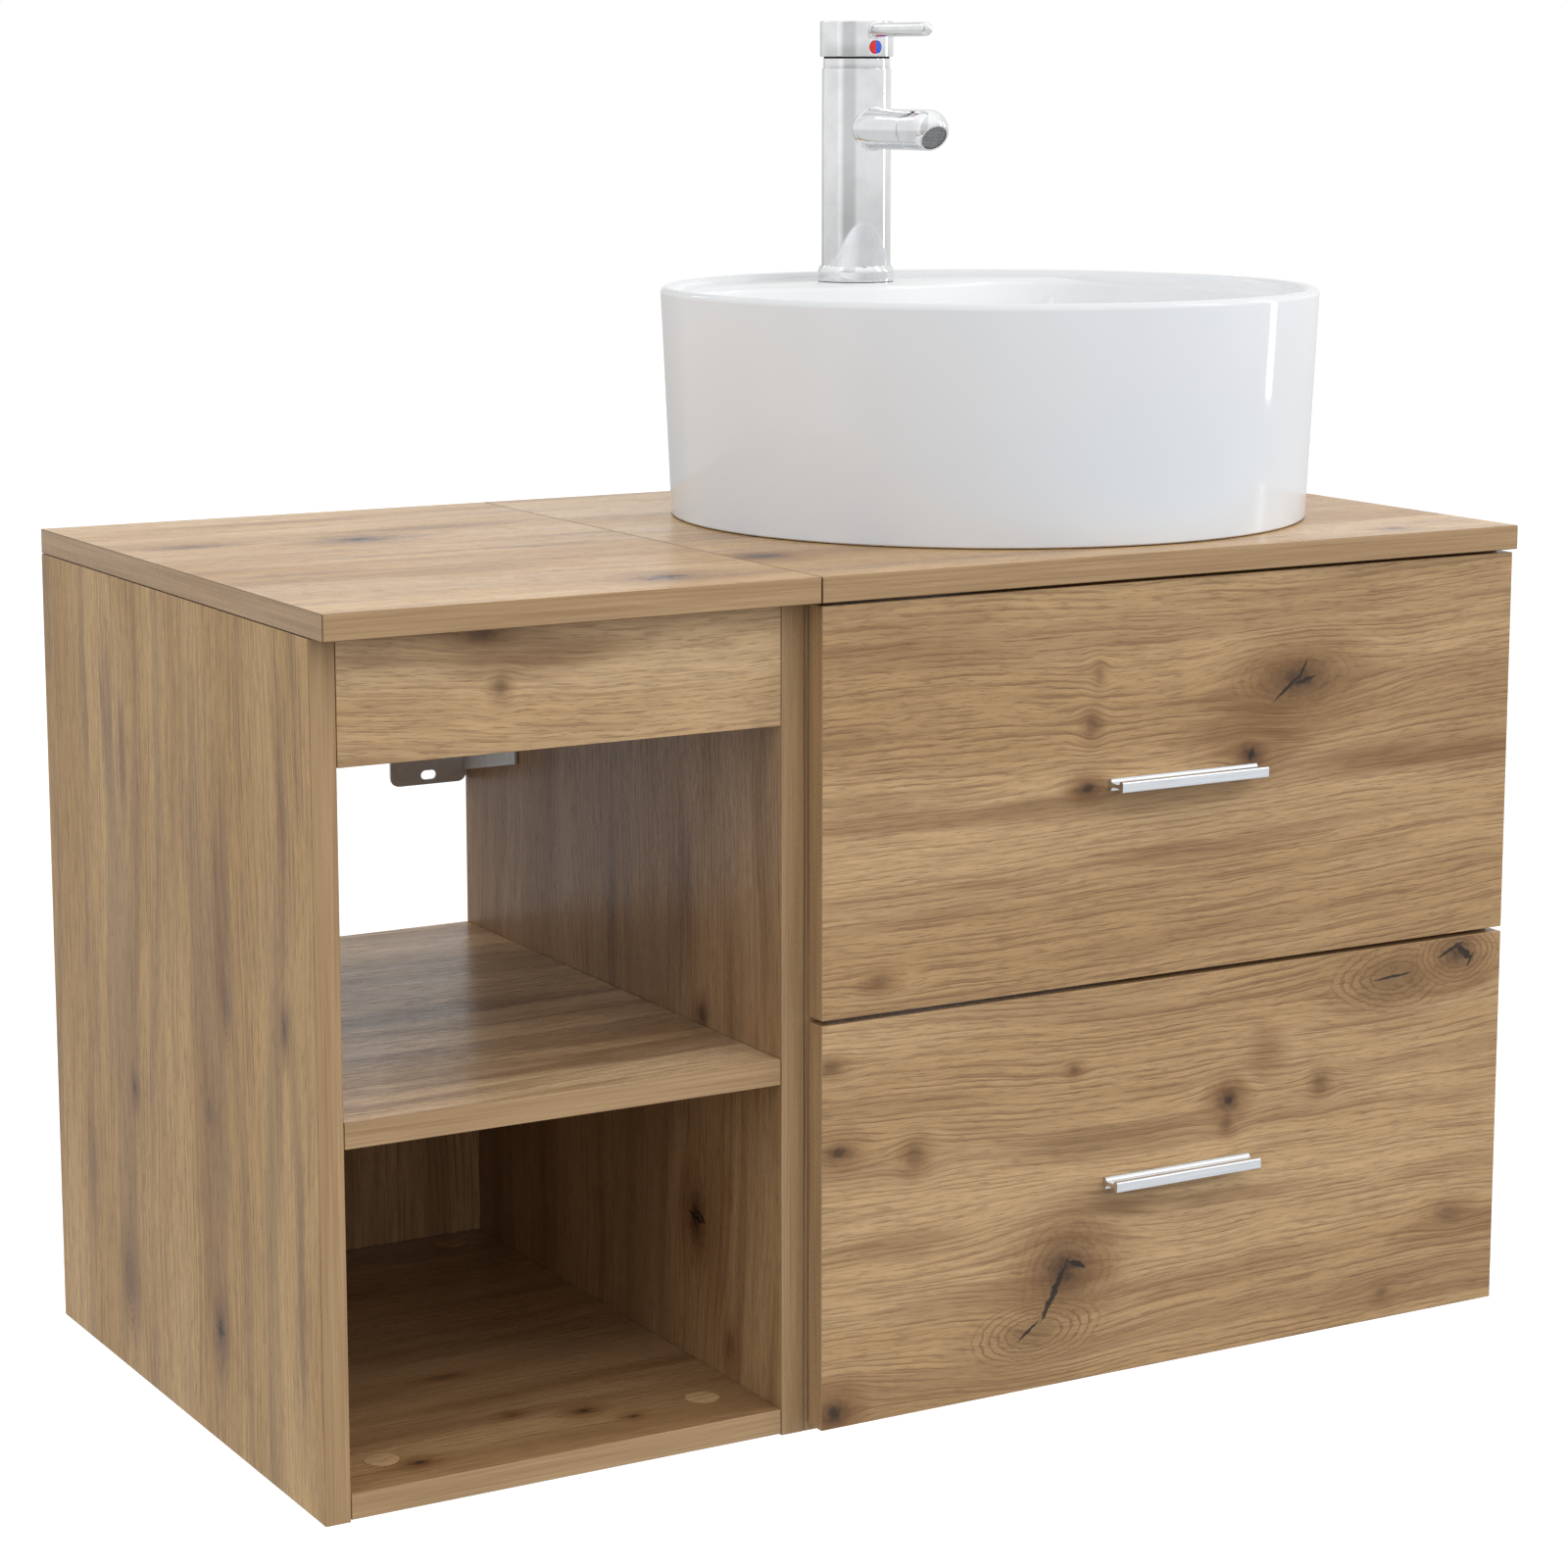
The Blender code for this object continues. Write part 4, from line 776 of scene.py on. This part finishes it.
def lofted(name, rings, material):
    """Rings of as many points each, joined in order, the first and last closed with a face."""
    shape = bmesh.new()
    made = [[shape.verts.new(point) for point in ring] for ring in rings]
    for ring, following in zip(made, made[1:]):
        span(shape, ring, following)
    for ring in (made[0], made[-1]):
        if len(ring) > 2:
            shape.faces.new(ring)
    return finish_mesh(name, shape, material)


def cut(piece, *cutters):
    """Takes the cutters out of a piece, once and for all."""
    for other in cutters:
        modifier = piece.modifiers.new(other.name, "BOOLEAN")
        modifier.operation = "DIFFERENCE"
        modifier.solver = "EXACT"
        modifier.object = other
    bpy.context.view_layer.update()
    graph = bpy.context.evaluated_depsgraph_get()
    mesh = bpy.data.meshes.new_from_object(piece.evaluated_get(graph))
    piece.modifiers.clear()
    piece.data = mesh
    for other in cutters:
        bpy.data.objects.remove(other)
    mesh.shade_smooth()
    mesh.set_sharp_from_angle(angle=math.radians(35))
    return piece


def stands_for(piece, node, body):
    """A piece with the looks of one CAD node, which it replaces."""
    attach(piece, body)
    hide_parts(node)


def polished(node, outline, centre, metal, body="cabinet"):
    """A finer chrome turning in place of a round CAD node."""
    stands_for(turned(node + "_polished", outline, centre, metal), node, body)


# Basin

BASIN_CENTRE, BASIN_RIM, BASIN_FOOT, BASIN_TOP = round_node("basin")
BASIN_HEIGHT = BASIN_TOP - BASIN_FOOT
BASIN_BASE = BASIN_RIM - 6.4 * MM
BASIN_INNER = BASIN_RIM - 10.4 * MM
BASIN_LIP = 4 * MM
DECK_DROP = 4.9 * MM
DECK_REACH = 0.128
DECK_HALF_ANGLE = math.radians(43)
DECK_THICKNESS = 12 * MM
WALL = 10 * MM
BOWL_FLOOR = 28 * MM
BOWL_FALL = 4 * MM
CAVITY = 188.5 * MM
BOSS = 38 * MM
RECESS = 34.5 * MM  # the step in the bowl's floor that the waste's flange lies in
WASTE_HOLE = 22.5 * MM
TAP_HOLE = 17.5 * MM
HEEL_SHARE = 0.80  # the floor's radius as a share of the mouth's
BASIN_SEGMENTS = 240
MOUTH_BLEND = 9  # a higher power makes a sharper corner at each end of the tap deck


def mouth_radius(angle):
    """Radius of the bowl's mouth at an angle from the rear, drawn in where the tap deck is."""
    share = (angle / DECK_HALF_ANGLE) ** 2
    deck = DECK_REACH + (BASIN_INNER - DECK_REACH) * share
    return (deck**-MOUTH_BLEND + BASIN_INNER**-MOUTH_BLEND) ** (-1 / MOUTH_BLEND)


def basin_section(angle):
    """The wall's (radius, height) outline at an angle from the rear, from the foot up the outside,
    over the rim and down the bowl, and back under it."""
    mouth = mouth_radius(angle)
    share = min((BASIN_INNER - mouth) / (10 * MM), 1)
    deck = BASIN_HEIGHT - DECK_DROP
    floor = mouth * HEEL_SHARE
    low = BOWL_FLOOR - BOWL_FALL
    low_roof = BOWL_FLOOR + 8 * MM
    roof = low_roof + (deck - DECK_THICKNESS - low_roof) * share
    roof_inner = floor + 8 * MM + (mouth + WALL + 4 * MM - floor - 8 * MM) * share
    rounding = 0.1 * MM
    corners = [
        (BASIN_BASE, 0, 1.5 * MM),
        (BASIN_RIM, BASIN_HEIGHT, BASIN_LIP),
        (BASIN_INNER + 2 * MM, BASIN_HEIGHT, BASIN_LIP),
        (BASIN_INNER + 1 * MM, deck - 3 * MM * (1 - share), rounding + 2.5 * MM * share),
        (mouth, deck - 6 * MM * (1 - share), rounding + 5 * MM * share),
        (mouth - 7 * MM, BOWL_FLOOR + 2 * MM, 26 * MM),
        (floor - 30 * MM, BOWL_FLOOR, 8 * MM),
        (RECESS, low, 1.5 * MM),
        (WASTE_HOLE, low, 0.4 * MM),
        (WASTE_HOLE, 0, 0.5 * MM),
        (BOSS, 0, 1 * MM),
        (BOSS, low - WALL, 2 * MM),
        (floor - 20 * MM, low - WALL, 8 * MM),
        (min(roof_inner, CAVITY - 3 * MM), roof, 1 * MM),
        (CAVITY, roof, 1 * MM),
        (CAVITY, 0, 1 * MM),
    ]
    return filleted(corners, 6)


def build_basin(material):
    shape = bmesh.new()
    rings = []
    for i in range(BASIN_SEGMENTS):
        angle = 2 * math.pi * i / BASIN_SEGMENTS
        from_rear = min(angle, 2 * math.pi - angle)
        x, y = math.sin(angle), math.cos(angle)
        ring = []
        for radius, z in basin_section(from_rear):
            place = (BASIN_CENTRE[0] + radius * x, BASIN_CENTRE[1] + radius * y)
            ring.append(shape.verts.new((*place, BASIN_FOOT + z)))
        rings.append(ring)
    for ring, following in zip(rings, rings[1:] + rings[:1]):
        span(shape, ring, following)
    basin = finish_mesh("basin_glazed", shape, material)
    low, high = TAP_DECK - 0.05, TAP_DECK + 0.02
    hole = [(0, high), (TAP_HOLE, high), (TAP_HOLE, low), (0, low)]
    cut(basin, turned("tap_hole", hole, TAP_CENTRE, material))
    stands_for(basin, "basin", "cabinet")


# Tap

TAP_CENTRE, RING_RADIUS, TAP_DECK, RING_TOP = round_node("tap_base_ring")
_, TAP_RADIUS, BODY_FOOT, BODY_TOP = round_node("tap_body")
_, COLLAR_RADIUS, _, COLLAR_TOP = round_node("tap_collar")
_, CAP_RADIUS, CAP_FOOT, CAP_TOP = round_node("tap_cap")
_, MARK_RADIUS, MARK_FOOT, MARK_TOP = round_node("tap_indicator")
_, SPOUT_RADIUS, _, SPOUT_TOP = round_node("tap_spout")
LEVER_LOW, LEVER_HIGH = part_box("tap_lever")
TAP_BORE = 17.5 * MM
TAP_BORE_DEPTH = 30 * MM
NECK_RADIUS = 19 * MM
COLLAR_BORE = 17.6 * MM
WIPER_RADIUS = 21.8 * MM
CAP_GAP = 1.1 * MM
CAP_WALL = 1.65 * MM
CAP_CROWN = 12.8 * MM
CAP_STEM = 3.2 * MM
MARK_DEPTH = 1.2 * MM
LEVER_RADIUS = 4.6 * MM
SPOUT_Z = SPOUT_TOP - SPOUT_RADIUS
SPOUT_REACH = 0.090
SEAM_REACH = 0.072
SEAM_HALF = 0.55 * MM
SEAM_EDGE = 0.2 * MM
SEAM_DEPTH = 1.6 * MM
OUTLET_RADIUS = 10 * MM
AERATOR_RADIUS = 8.6 * MM


def branch(name, radius, fillet, trunk, height, stations, material, segments=64):
    """A round arm that points forward from a round vertical trunk, and swells where it joins.
    stations are (reach, radius) points beyond the swelling, from the trunk's axis."""
    rings = []
    steps = 8
    for k in range(steps + 1):
        turn = math.radians(90) * (1 - k / steps)
        out = fillet * (1 - math.sin(turn))
        wide = radius + fillet * (1 - math.cos(turn))
        ring = []
        for x, z in circle(segments):
            reach = math.sqrt(trunk**2 - (wide * x) ** 2) + out
            point = (TAP_CENTRE[0] + wide * x, TAP_CENTRE[1] - reach, height + wide * z)
            ring.append(point)
        rings.append(ring)
    for reach, wide in stations:
        if wide < 1e-6:
            rings.append([(TAP_CENTRE[0], TAP_CENTRE[1] - reach, height)])
            continue
        middle = (TAP_CENTRE[0], TAP_CENTRE[1] - reach, height)
        rings.append([(middle[0] + wide * x, middle[1], height + wide * z) for x, z in circle(segments)])
    return lofted(name, rings, material)


def outlet_bar(name, radius, near, far, material):
    """A round bar on the outlet's axis, between two distances from the spout's round end."""
    profile = [(0, near), (radius, near), (radius, far), (0, far)]
    bar = turned(name, profile, (0, 0), material, 64)
    down = Matrix.Rotation(math.radians(90) + OUTLET_ANGLE, 4, "X")
    end = Matrix.Translation((TAP_CENTRE[0], TAP_CENTRE[1] - SPOUT_REACH, SPOUT_Z))
    bar.data.transform(end @ down)
    return bar


def build_spout(material):
    seam = [(1.0, 0.0), (0.6, SEAM_EDGE), (0.3, SEAM_DEPTH)]
    stations = [(SEAM_REACH - SEAM_HALF * out, SPOUT_RADIUS - sunk) for out, sunk in seam]
    stations += [(SEAM_REACH + SEAM_HALF * out, SPOUT_RADIUS - sunk) for out, sunk in seam[::-1]]
    steps = 24
    for k in range(steps + 1):
        turn = math.radians(90) * k / steps
        radius = SPOUT_RADIUS * math.cos(turn)
        stations.append((SPOUT_REACH + SPOUT_RADIUS * math.sin(turn), radius))
    trunk = TAP_RADIUS + 0.25 * MM
    joint = 1.2 * MM
    spout = branch("tap_spout_polished", SPOUT_RADIUS, joint, trunk, SPOUT_Z, stations, material)
    face = math.sqrt(SPOUT_RADIUS**2 - OUTLET_RADIUS**2)
    cut(
        spout,
        outlet_bar("outlet_face", 2 * SPOUT_RADIUS, face, face + 0.03, material),
        outlet_bar("outlet_seat", AERATOR_RADIUS + 0.2 * MM, face - 5 * MM, face + 1 * MM, material),
    )
    stands_for(spout, "tap_spout", "cabinet")


def build_tap(metal, mark, rubber):
    hole = TAP_RADIUS + 0.3 * MM
    ring = [
        (hole, TAP_DECK, 0.2 * MM),
        (RING_RADIUS, TAP_DECK, 0.5 * MM),
        (RING_RADIUS, RING_TOP - 3.0 * MM, 3.0 * MM),
        (RING_RADIUS - 1.4 * MM, RING_TOP, 0.4 * MM),
        (hole, RING_TOP, 0.2 * MM),
    ]
    polished("tap_base_ring", filleted(ring), TAP_CENTRE, metal)
    neck = COLLAR_TOP - 0.5 * MM
    body = [
        (0, neck - 30 * MM, 0),
        (NECK_RADIUS, neck - 30 * MM, 0),
        (NECK_RADIUS, BODY_TOP, 0.2 * MM),
        (TAP_RADIUS, BODY_TOP, 0.35 * MM),
        (TAP_RADIUS, BODY_FOOT, 0.2 * MM),
        (TAP_BORE, BODY_FOOT, 0.2 * MM),
        (TAP_BORE, BODY_FOOT + TAP_BORE_DEPTH, 0),
        (0, BODY_FOOT + TAP_BORE_DEPTH, 0),
    ]
    polished("tap_body", filleted(body), TAP_CENTRE, metal)
    collar_z = BODY_TOP + 0.05 * MM
    collar = [
        (COLLAR_BORE, collar_z, 0),
        (COLLAR_RADIUS, collar_z, 0.1 * MM),
        (COLLAR_RADIUS, COLLAR_TOP, 0.5 * MM),
        (COLLAR_BORE, COLLAR_TOP, 0),
    ]
    polished("tap_collar", filleted(collar), TAP_CENTRE, metal)
    low, high = COLLAR_TOP + 0.02 * MM, COLLAR_TOP + CAP_GAP + 0.5 * MM
    wiper = [
        (COLLAR_BORE, low, 0),
        (WIPER_RADIUS, low, 0.1 * MM),
        (WIPER_RADIUS, high, 0.4 * MM),
        (COLLAR_BORE, high, 0),
    ]
    piece = turned("tap_wiper_ring", filleted(wiper), TAP_CENTRE, rubber)
    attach(piece, "cabinet")
    build_cap(metal, mark)
    build_lever(metal)


def build_cap(metal, mark):
    """The hollow cap on its stem, with the round mark let into its front."""
    wall = CAP_RADIUS - CAP_WALL
    crown = CAP_TOP - CAP_CROWN
    cap = [
        (0, CAP_TOP, 0),
        (CAP_RADIUS, CAP_TOP, 1.0 * MM),
        (CAP_RADIUS, COLLAR_TOP + CAP_GAP, 0.3 * MM),
        (wall, COLLAR_TOP + CAP_GAP, 0.3 * MM),
        (wall, crown, 1.0 * MM),
        (CAP_STEM, crown, 0.5 * MM),
        (CAP_STEM, CAP_FOOT, 0.5 * MM),
        (0, CAP_FOOT, 0),
    ]
    piece = turned("tap_cap_polished", filleted(cap), TAP_CENTRE, metal)
    mark_z = (MARK_TOP + MARK_FOOT) / 2
    forward = Matrix.Translation((TAP_CENTRE[0], TAP_CENTRE[1] - CAP_RADIUS, mark_z))
    forward = forward @ Matrix.Rotation(math.radians(90), 4, "X")
    rim = MARK_RADIUS + 0.3 * MM
    pocket = [(0, MARK_DEPTH), (rim, MARK_DEPTH), (rim, -MARK_DEPTH), (0, -MARK_DEPTH)]
    seat = turned("mark_seat", pocket, (0, 0), metal)
    seat.data.transform(forward)
    cut(piece, seat)
    stands_for(piece, "tap_cap", "lever_cap")
    button = [
        (0, 0.35 * MM, 0),
        (MARK_RADIUS, -0.1 * MM, 0.3 * MM),
        (MARK_RADIUS, -0.9 * MM, 0),
        (0, -0.9 * MM, 0),
    ]
    piece = turned("tap_indicator_glossy", filleted(button), (0, 0), mark, 48)
    piece.data.transform(forward)
    stands_for(piece, "tap_indicator", "lever_cap")


def build_lever(metal):
    """A thin round bar, straight out from the cap, with a round end."""
    radius = LEVER_RADIUS
    reach = TAP_CENTRE[1] - LEVER_LOW.y
    tip = []
    steps = 10
    for k in range(steps + 1):
        turn = math.radians(90) * k / steps
        tip.append((reach - radius + radius * math.sin(turn), radius * math.cos(turn)))
    height = (LEVER_HIGH.z + LEVER_LOW.z) / 2
    trunk = CAP_RADIUS + 0.02 * MM
    joint = 1.4 * MM
    lever = branch("tap_lever_polished", radius, joint, trunk, height, tip, metal, 48)
    stands_for(lever, "tap_lever", "lever_cap")


# Waste

WASTE_CENTRE, FLANGE_RADIUS, WASTE_FOOT, FLANGE_TOP = round_node("waste_body")
_, PLUG_RADIUS, PLUG_FOOT, PLUG_TOP = round_node("waste_plug")
WASTE_TUBE = 20.5 * MM
WASTE_BORE = 17 * MM
FLANGE_HEIGHT = 2.8 * MM


def build_waste(metal):
    top = FLANGE_TOP
    seat = top - FLANGE_HEIGHT
    body = [
        (WASTE_BORE, top - 3 * MM, 0.5 * MM),
        (WASTE_BORE + 3 * MM, top, 0.4 * MM),
        (FLANGE_RADIUS - 0.5 * MM, top, 1.0 * MM),
        (FLANGE_RADIUS, seat, 0.3 * MM),
        (WASTE_TUBE, seat, 0.5 * MM),
        (WASTE_TUBE, WASTE_FOOT, 0.3 * MM),
        (WASTE_BORE, WASTE_FOOT, 0.3 * MM),
    ]
    polished("waste_body", filleted(body), WASTE_CENTRE, metal)
    edge = PLUG_RADIUS
    skirt = WASTE_BORE - 0.6 * MM
    rise = PLUG_TOP - top - 0.3 * MM
    dome = []
    steps = 16
    for k in range(steps + 1):
        share = k / steps
        dome.append((edge * 0.97 * share, PLUG_TOP - 0.45 * rise * share**3))
    rim = [
        (edge, dome[-1][1] - 0.5 * MM),
        (edge, top + 0.4 * MM),
        (skirt, top + 0.3 * MM),
        (skirt, PLUG_FOOT),
        (0, PLUG_FOOT),
    ]
    polished("waste_plug", dome + rim, WASTE_CENTRE, metal, "plug")


# Small fittings

BRACKET_SHEET = 2 * MM
RUNNER_SHEET = 1.2 * MM
SCREW_RADIUS = 3.2 * MM
SCREW_HEIGHT = 1.5 * MM
BRACKET_SCREW_REACH = (0.024, 0.062)
BRACKET_SCREW_RISE = 0.036
HANDLE_SCREW_X = 0.032
RUNNER_SCREW_REACH = (0.012, 0.100, 0.300)
# Each cover cap's distance in from the bottom board's ends, front and back
CAP_INSET_LEFT = 0.0355
CAP_INSET_RIGHT = 0.0300
CAP_INSET_FRONT = 0.0400
CAP_INSET_BACK = 0.0320
COVER_RADIUS = 10 * MM
COVER_HEIGHT = 0.35 * MM


def disc(shape, centre, out, radius, height, dome):
    """A low round head on a surface: its rim stands up along out and its top is domed."""
    turn = Vector((0, 0, 1)).rotation_difference(Vector(out)).to_matrix().to_4x4()
    stand = Matrix.Translation(centre) @ turn
    outline = [(radius, 0), (radius, height * 0.6), (radius * 0.9, height)]
    outline += [(radius * 0.45, height + dome * 0.8)]
    rings = []
    for wide, rise in outline:
        points = [Vector((wide * x, wide * y, rise)) for x, y in circle(32)]
        rings.append([shape.verts.new(stand @ point) for point in points])
    for ring, following in zip(rings, rings[1:]):
        span(shape, ring, following)
    shape.faces.new(rings[0])
    return rings[-1], stand


def screw_head(shape, centre, out):
    """A pan head with a cross recess pressed into its top."""
    top, stand = disc(shape, centre, out, SCREW_RADIUS, SCREW_HEIGHT, 0.5 * MM)
    arm = SCREW_RADIUS * 0.40
    thick = SCREW_RADIUS * 0.14
    level = SCREW_HEIGHT + 0.4 * MM
    for share, height in ((1.0, level), (0.7, level - 1.2 * MM)):
        cross = []
        for x, y in circle(len(top)):
            wide = share * (thick + (arm - thick) * abs(x * x - y * y) ** 6)
            cross.append(shape.verts.new(stand @ Vector((wide * x, wide * y, height))))
        span(shape, top, cross)
        top = cross
    shape.faces.new(top)


def screws(name, spots, body, material):
    shape = bmesh.new()
    for centre, out in spots:
        screw_head(shape, centre, out)
    piece = finish_mesh(name, shape, material, 30)
    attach(piece, body)


def bracket_spots():
    """Two screws through the side flange of each hanging bracket."""
    spots = []
    for node in NODES:
        if "_bracket_" not in node:
            continue
        low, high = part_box(node)
        inward = 1 if node.endswith("left") else -1
        face = (low.x if inward > 0 else high.x) + inward * BRACKET_SHEET
        for reach in BRACKET_SCREW_REACH:
            place = (face, high.y - reach, low.z + BRACKET_SCREW_RISE)
            spots.append((place, (inward, 0, 0)))
    return spots


def handle_spots(level):
    """Two screws through the drawer front, behind the bar handle."""
    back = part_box(f"{level}_drawer_front")[1].y
    low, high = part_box(f"{level}_handle")
    middle = (low.x + high.x) / 2
    height = (low.z + high.z) / 2
    places = [(middle + x, back, height) for x in (-HANDLE_SCREW_X, HANDLE_SCREW_X)]
    return [(place, (0, 1, 0)) for place in places]


def runner_spots(level, side):
    """Screws that hold a runner's fixed member to the cabinet's side."""
    low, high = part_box(f"{level}_runner_{side}_fixed")
    inward = 1 if side == "left" else -1
    face = (low.x if inward > 0 else high.x) + inward * RUNNER_SHEET
    height = (low.z + high.z) / 2
    places = [(face, low.y + reach, height) for reach in RUNNER_SCREW_REACH]
    return [(place, (inward, 0, 0)) for place in places]


def cover_caps(material):
    """Thin stick-on caps over the fittings in the open unit's bottom board."""
    shape = bmesh.new()
    low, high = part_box("open_bottom")
    for x in (low.x + CAP_INSET_LEFT, high.x - CAP_INSET_RIGHT):
        for y in (low.y + CAP_INSET_FRONT, high.y - CAP_INSET_BACK):
            place = (x, y, high.z + 0.02 * MM)
            top, _ = disc(shape, place, (0, 0, 1), COVER_RADIUS, COVER_HEIGHT, 0)
            shape.faces.new(top)
    piece = finish_mesh("cover_caps", shape, material, 30)
    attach(piece, "cabinet")


def build_fittings(metal):
    screws("bracket_screws", bracket_spots(), "cabinet", metal)
    for level in LEVELS:
        screws(f"{level}_handle_screws", handle_spots(level), f"{level}_drawer", metal)
        spots = [spot for side in SIDES for spot in runner_spots(level, side)]
        screws(f"{level}_runner_screws", spots, "cabinet", metal)


# Stage


def build_floor():
    g = Graph("floor")
    cloud = g.noise(g.place(), 0.8, 2.0)
    pale = g.mix(g.fit(cloud, 0.3, 0.7), linear(246, 246, 246), linear(242, 242, 242))
    material = g.surface(Base_Color=pale, Roughness=0.9)
    shape = bmesh.new()
    half = FLOOR_SIZE / 2
    corners = [(-half, -half), (half, -half), (half, half), (-half, half)]
    shape.faces.new([shape.verts.new((x, y, FLOOR_Z)) for x, y in corners])
    floor = finish_mesh("floor", shape, material)
    floor.visible_diffuse = False
    floor.visible_glossy = False


def add_light(name, place, aim, size, power):
    light = bpy.data.lights.new(name, "AREA")
    light.shape = "RECTANGLE"
    light.size, light.size_y = size
    light.energy = power
    lamp = bpy.data.objects.new(name, light)
    lamp.location = place
    lamp.rotation_euler = (Vector(aim) - Vector(place)).to_track_quat("-Z", "Y").to_euler()
    bpy.context.scene.collection.objects.link(lamp)


def upright_band(g, way, direction, near, far, strength):
    """Light or shade round one compass direction, the same at all heights."""
    flat = g.add("VectorMath", {0: way, 1: (1, 1, 0)}, operation="MULTIPLY").outputs[0]
    flat = g.add("VectorMath", {0: flat}, operation="NORMALIZE").outputs[0]
    return g.fit(g.dot(flat, (*direction, 0)), far, near, 0.0, strength)


def build_world():
    """White all round to the camera. As a light, a studio dome: bright overhead, with a wide
    softbox on the right, a weaker one on the left and dim below. Mirrors see pale walls."""
    g = Graph("studio", "worlds", "Background")
    bpy.context.scene.world = g.material
    way = g.add("TexCoord", {}).outputs["Generated"]
    up = g.parts(way)[2]
    light = g.fit(up, -0.1, 0.25, DOME_BELOW, DOME_LEVEL)
    light = g.total(light, g.fit(up, 0.35, 0.95, 0.0, DOME_ZENITH))
    for direction, spread, strength in SOFTBOXES:
        light = g.total(light, g.fit(g.dot(way, direction), spread, 1.0, 0.0, strength))
    mirror = g.fit(up, -0.12, 0.02, MIRROR_FLOOR, MIRROR_WALL)
    mirror = g.total(mirror, g.fit(up, 0.3, 0.9, 0.0, MIRROR_SKY))
    for direction, near, far, strength in MIRROR_BANDS:
        mirror = g.total(mirror, upright_band(g, way, direction, near, far, strength))
    path = g.add("LightPath", {}).outputs
    light = g.blend(path["Is Glossy Ray"], light, mirror)
    strength = g.blend(path["Is Camera Ray"], light, 1.0)
    g.put(g.shader.inputs["Color"], (1, 1, 1, 1))
    g.put(g.shader.inputs["Strength"], strength)


def build_studio():
    build_world()
    build_floor()
    for name, place, size, power in LIGHTS:
        add_light(name, place, LIGHT_AIM, size, power)
    camera = bpy.data.cameras.new("camera")
    camera.lens = CAMERA_LENS
    camera.shift_y = CAMERA_SHIFT
    eye = bpy.data.objects.new("camera", camera)
    eye.location = CAMERA_PLACE
    eye.rotation_euler = (math.radians(90) - CAMERA_PITCH, 0, -CAMERA_YAW)
    bpy.context.scene.collection.objects.link(eye)
    bpy.context.scene.camera = eye
    bpy.context.scene.view_settings.view_transform = "Standard"


# Build

build_studio()
dress_boards()

CHROME = chrome()
ZINC = zinc()
ALUMINIUM = aluminium()
STEEL = plain("stainless_steel", linear(168, 170, 172), 0.32, 1.0)
BRASS = plain("brass", linear(196, 166, 104), 0.35, 1.0)
RUBBER = plain("rubber", linear(38, 38, 40), 0.75, 0.0, 120.0, 0.08)
PLASTIC = plain("cartridge_plastic", linear(222, 220, 214), 0.45, 0.0)

for node in NODES:
    if "runner" in node or "bracket" in node:
        dress(node, ZINC, 0.2 * MM if "runner" in node else 0)
for node in ("upper_handle", "lower_handle"):
    dress(node, ALUMINIUM, 0.2 * MM)
for node, material in (
    ("tap_stud", STEEL),
    ("tap_aerator", aerator_screen()),
    ("tap_spindle", BRASS),
    ("tap_fixing_nut", BRASS),
    ("waste_nut", BRASS),
    ("waste_seal", RUBBER),
    ("tap_cartridge", PLASTIC),
):
    dress(node, material)

build_basin(ceramic())
build_tap(CHROME, indicator(TAP_CENTRE[0]), RUBBER)
build_spout(CHROME)
build_waste(CHROME)
build_fittings(plain("screw_zinc", linear(190, 192, 195), 0.34, 0.8, 160.0))
cover_caps(oak("cover_cap_print", "XYZ", 47.0, banding=0.0))
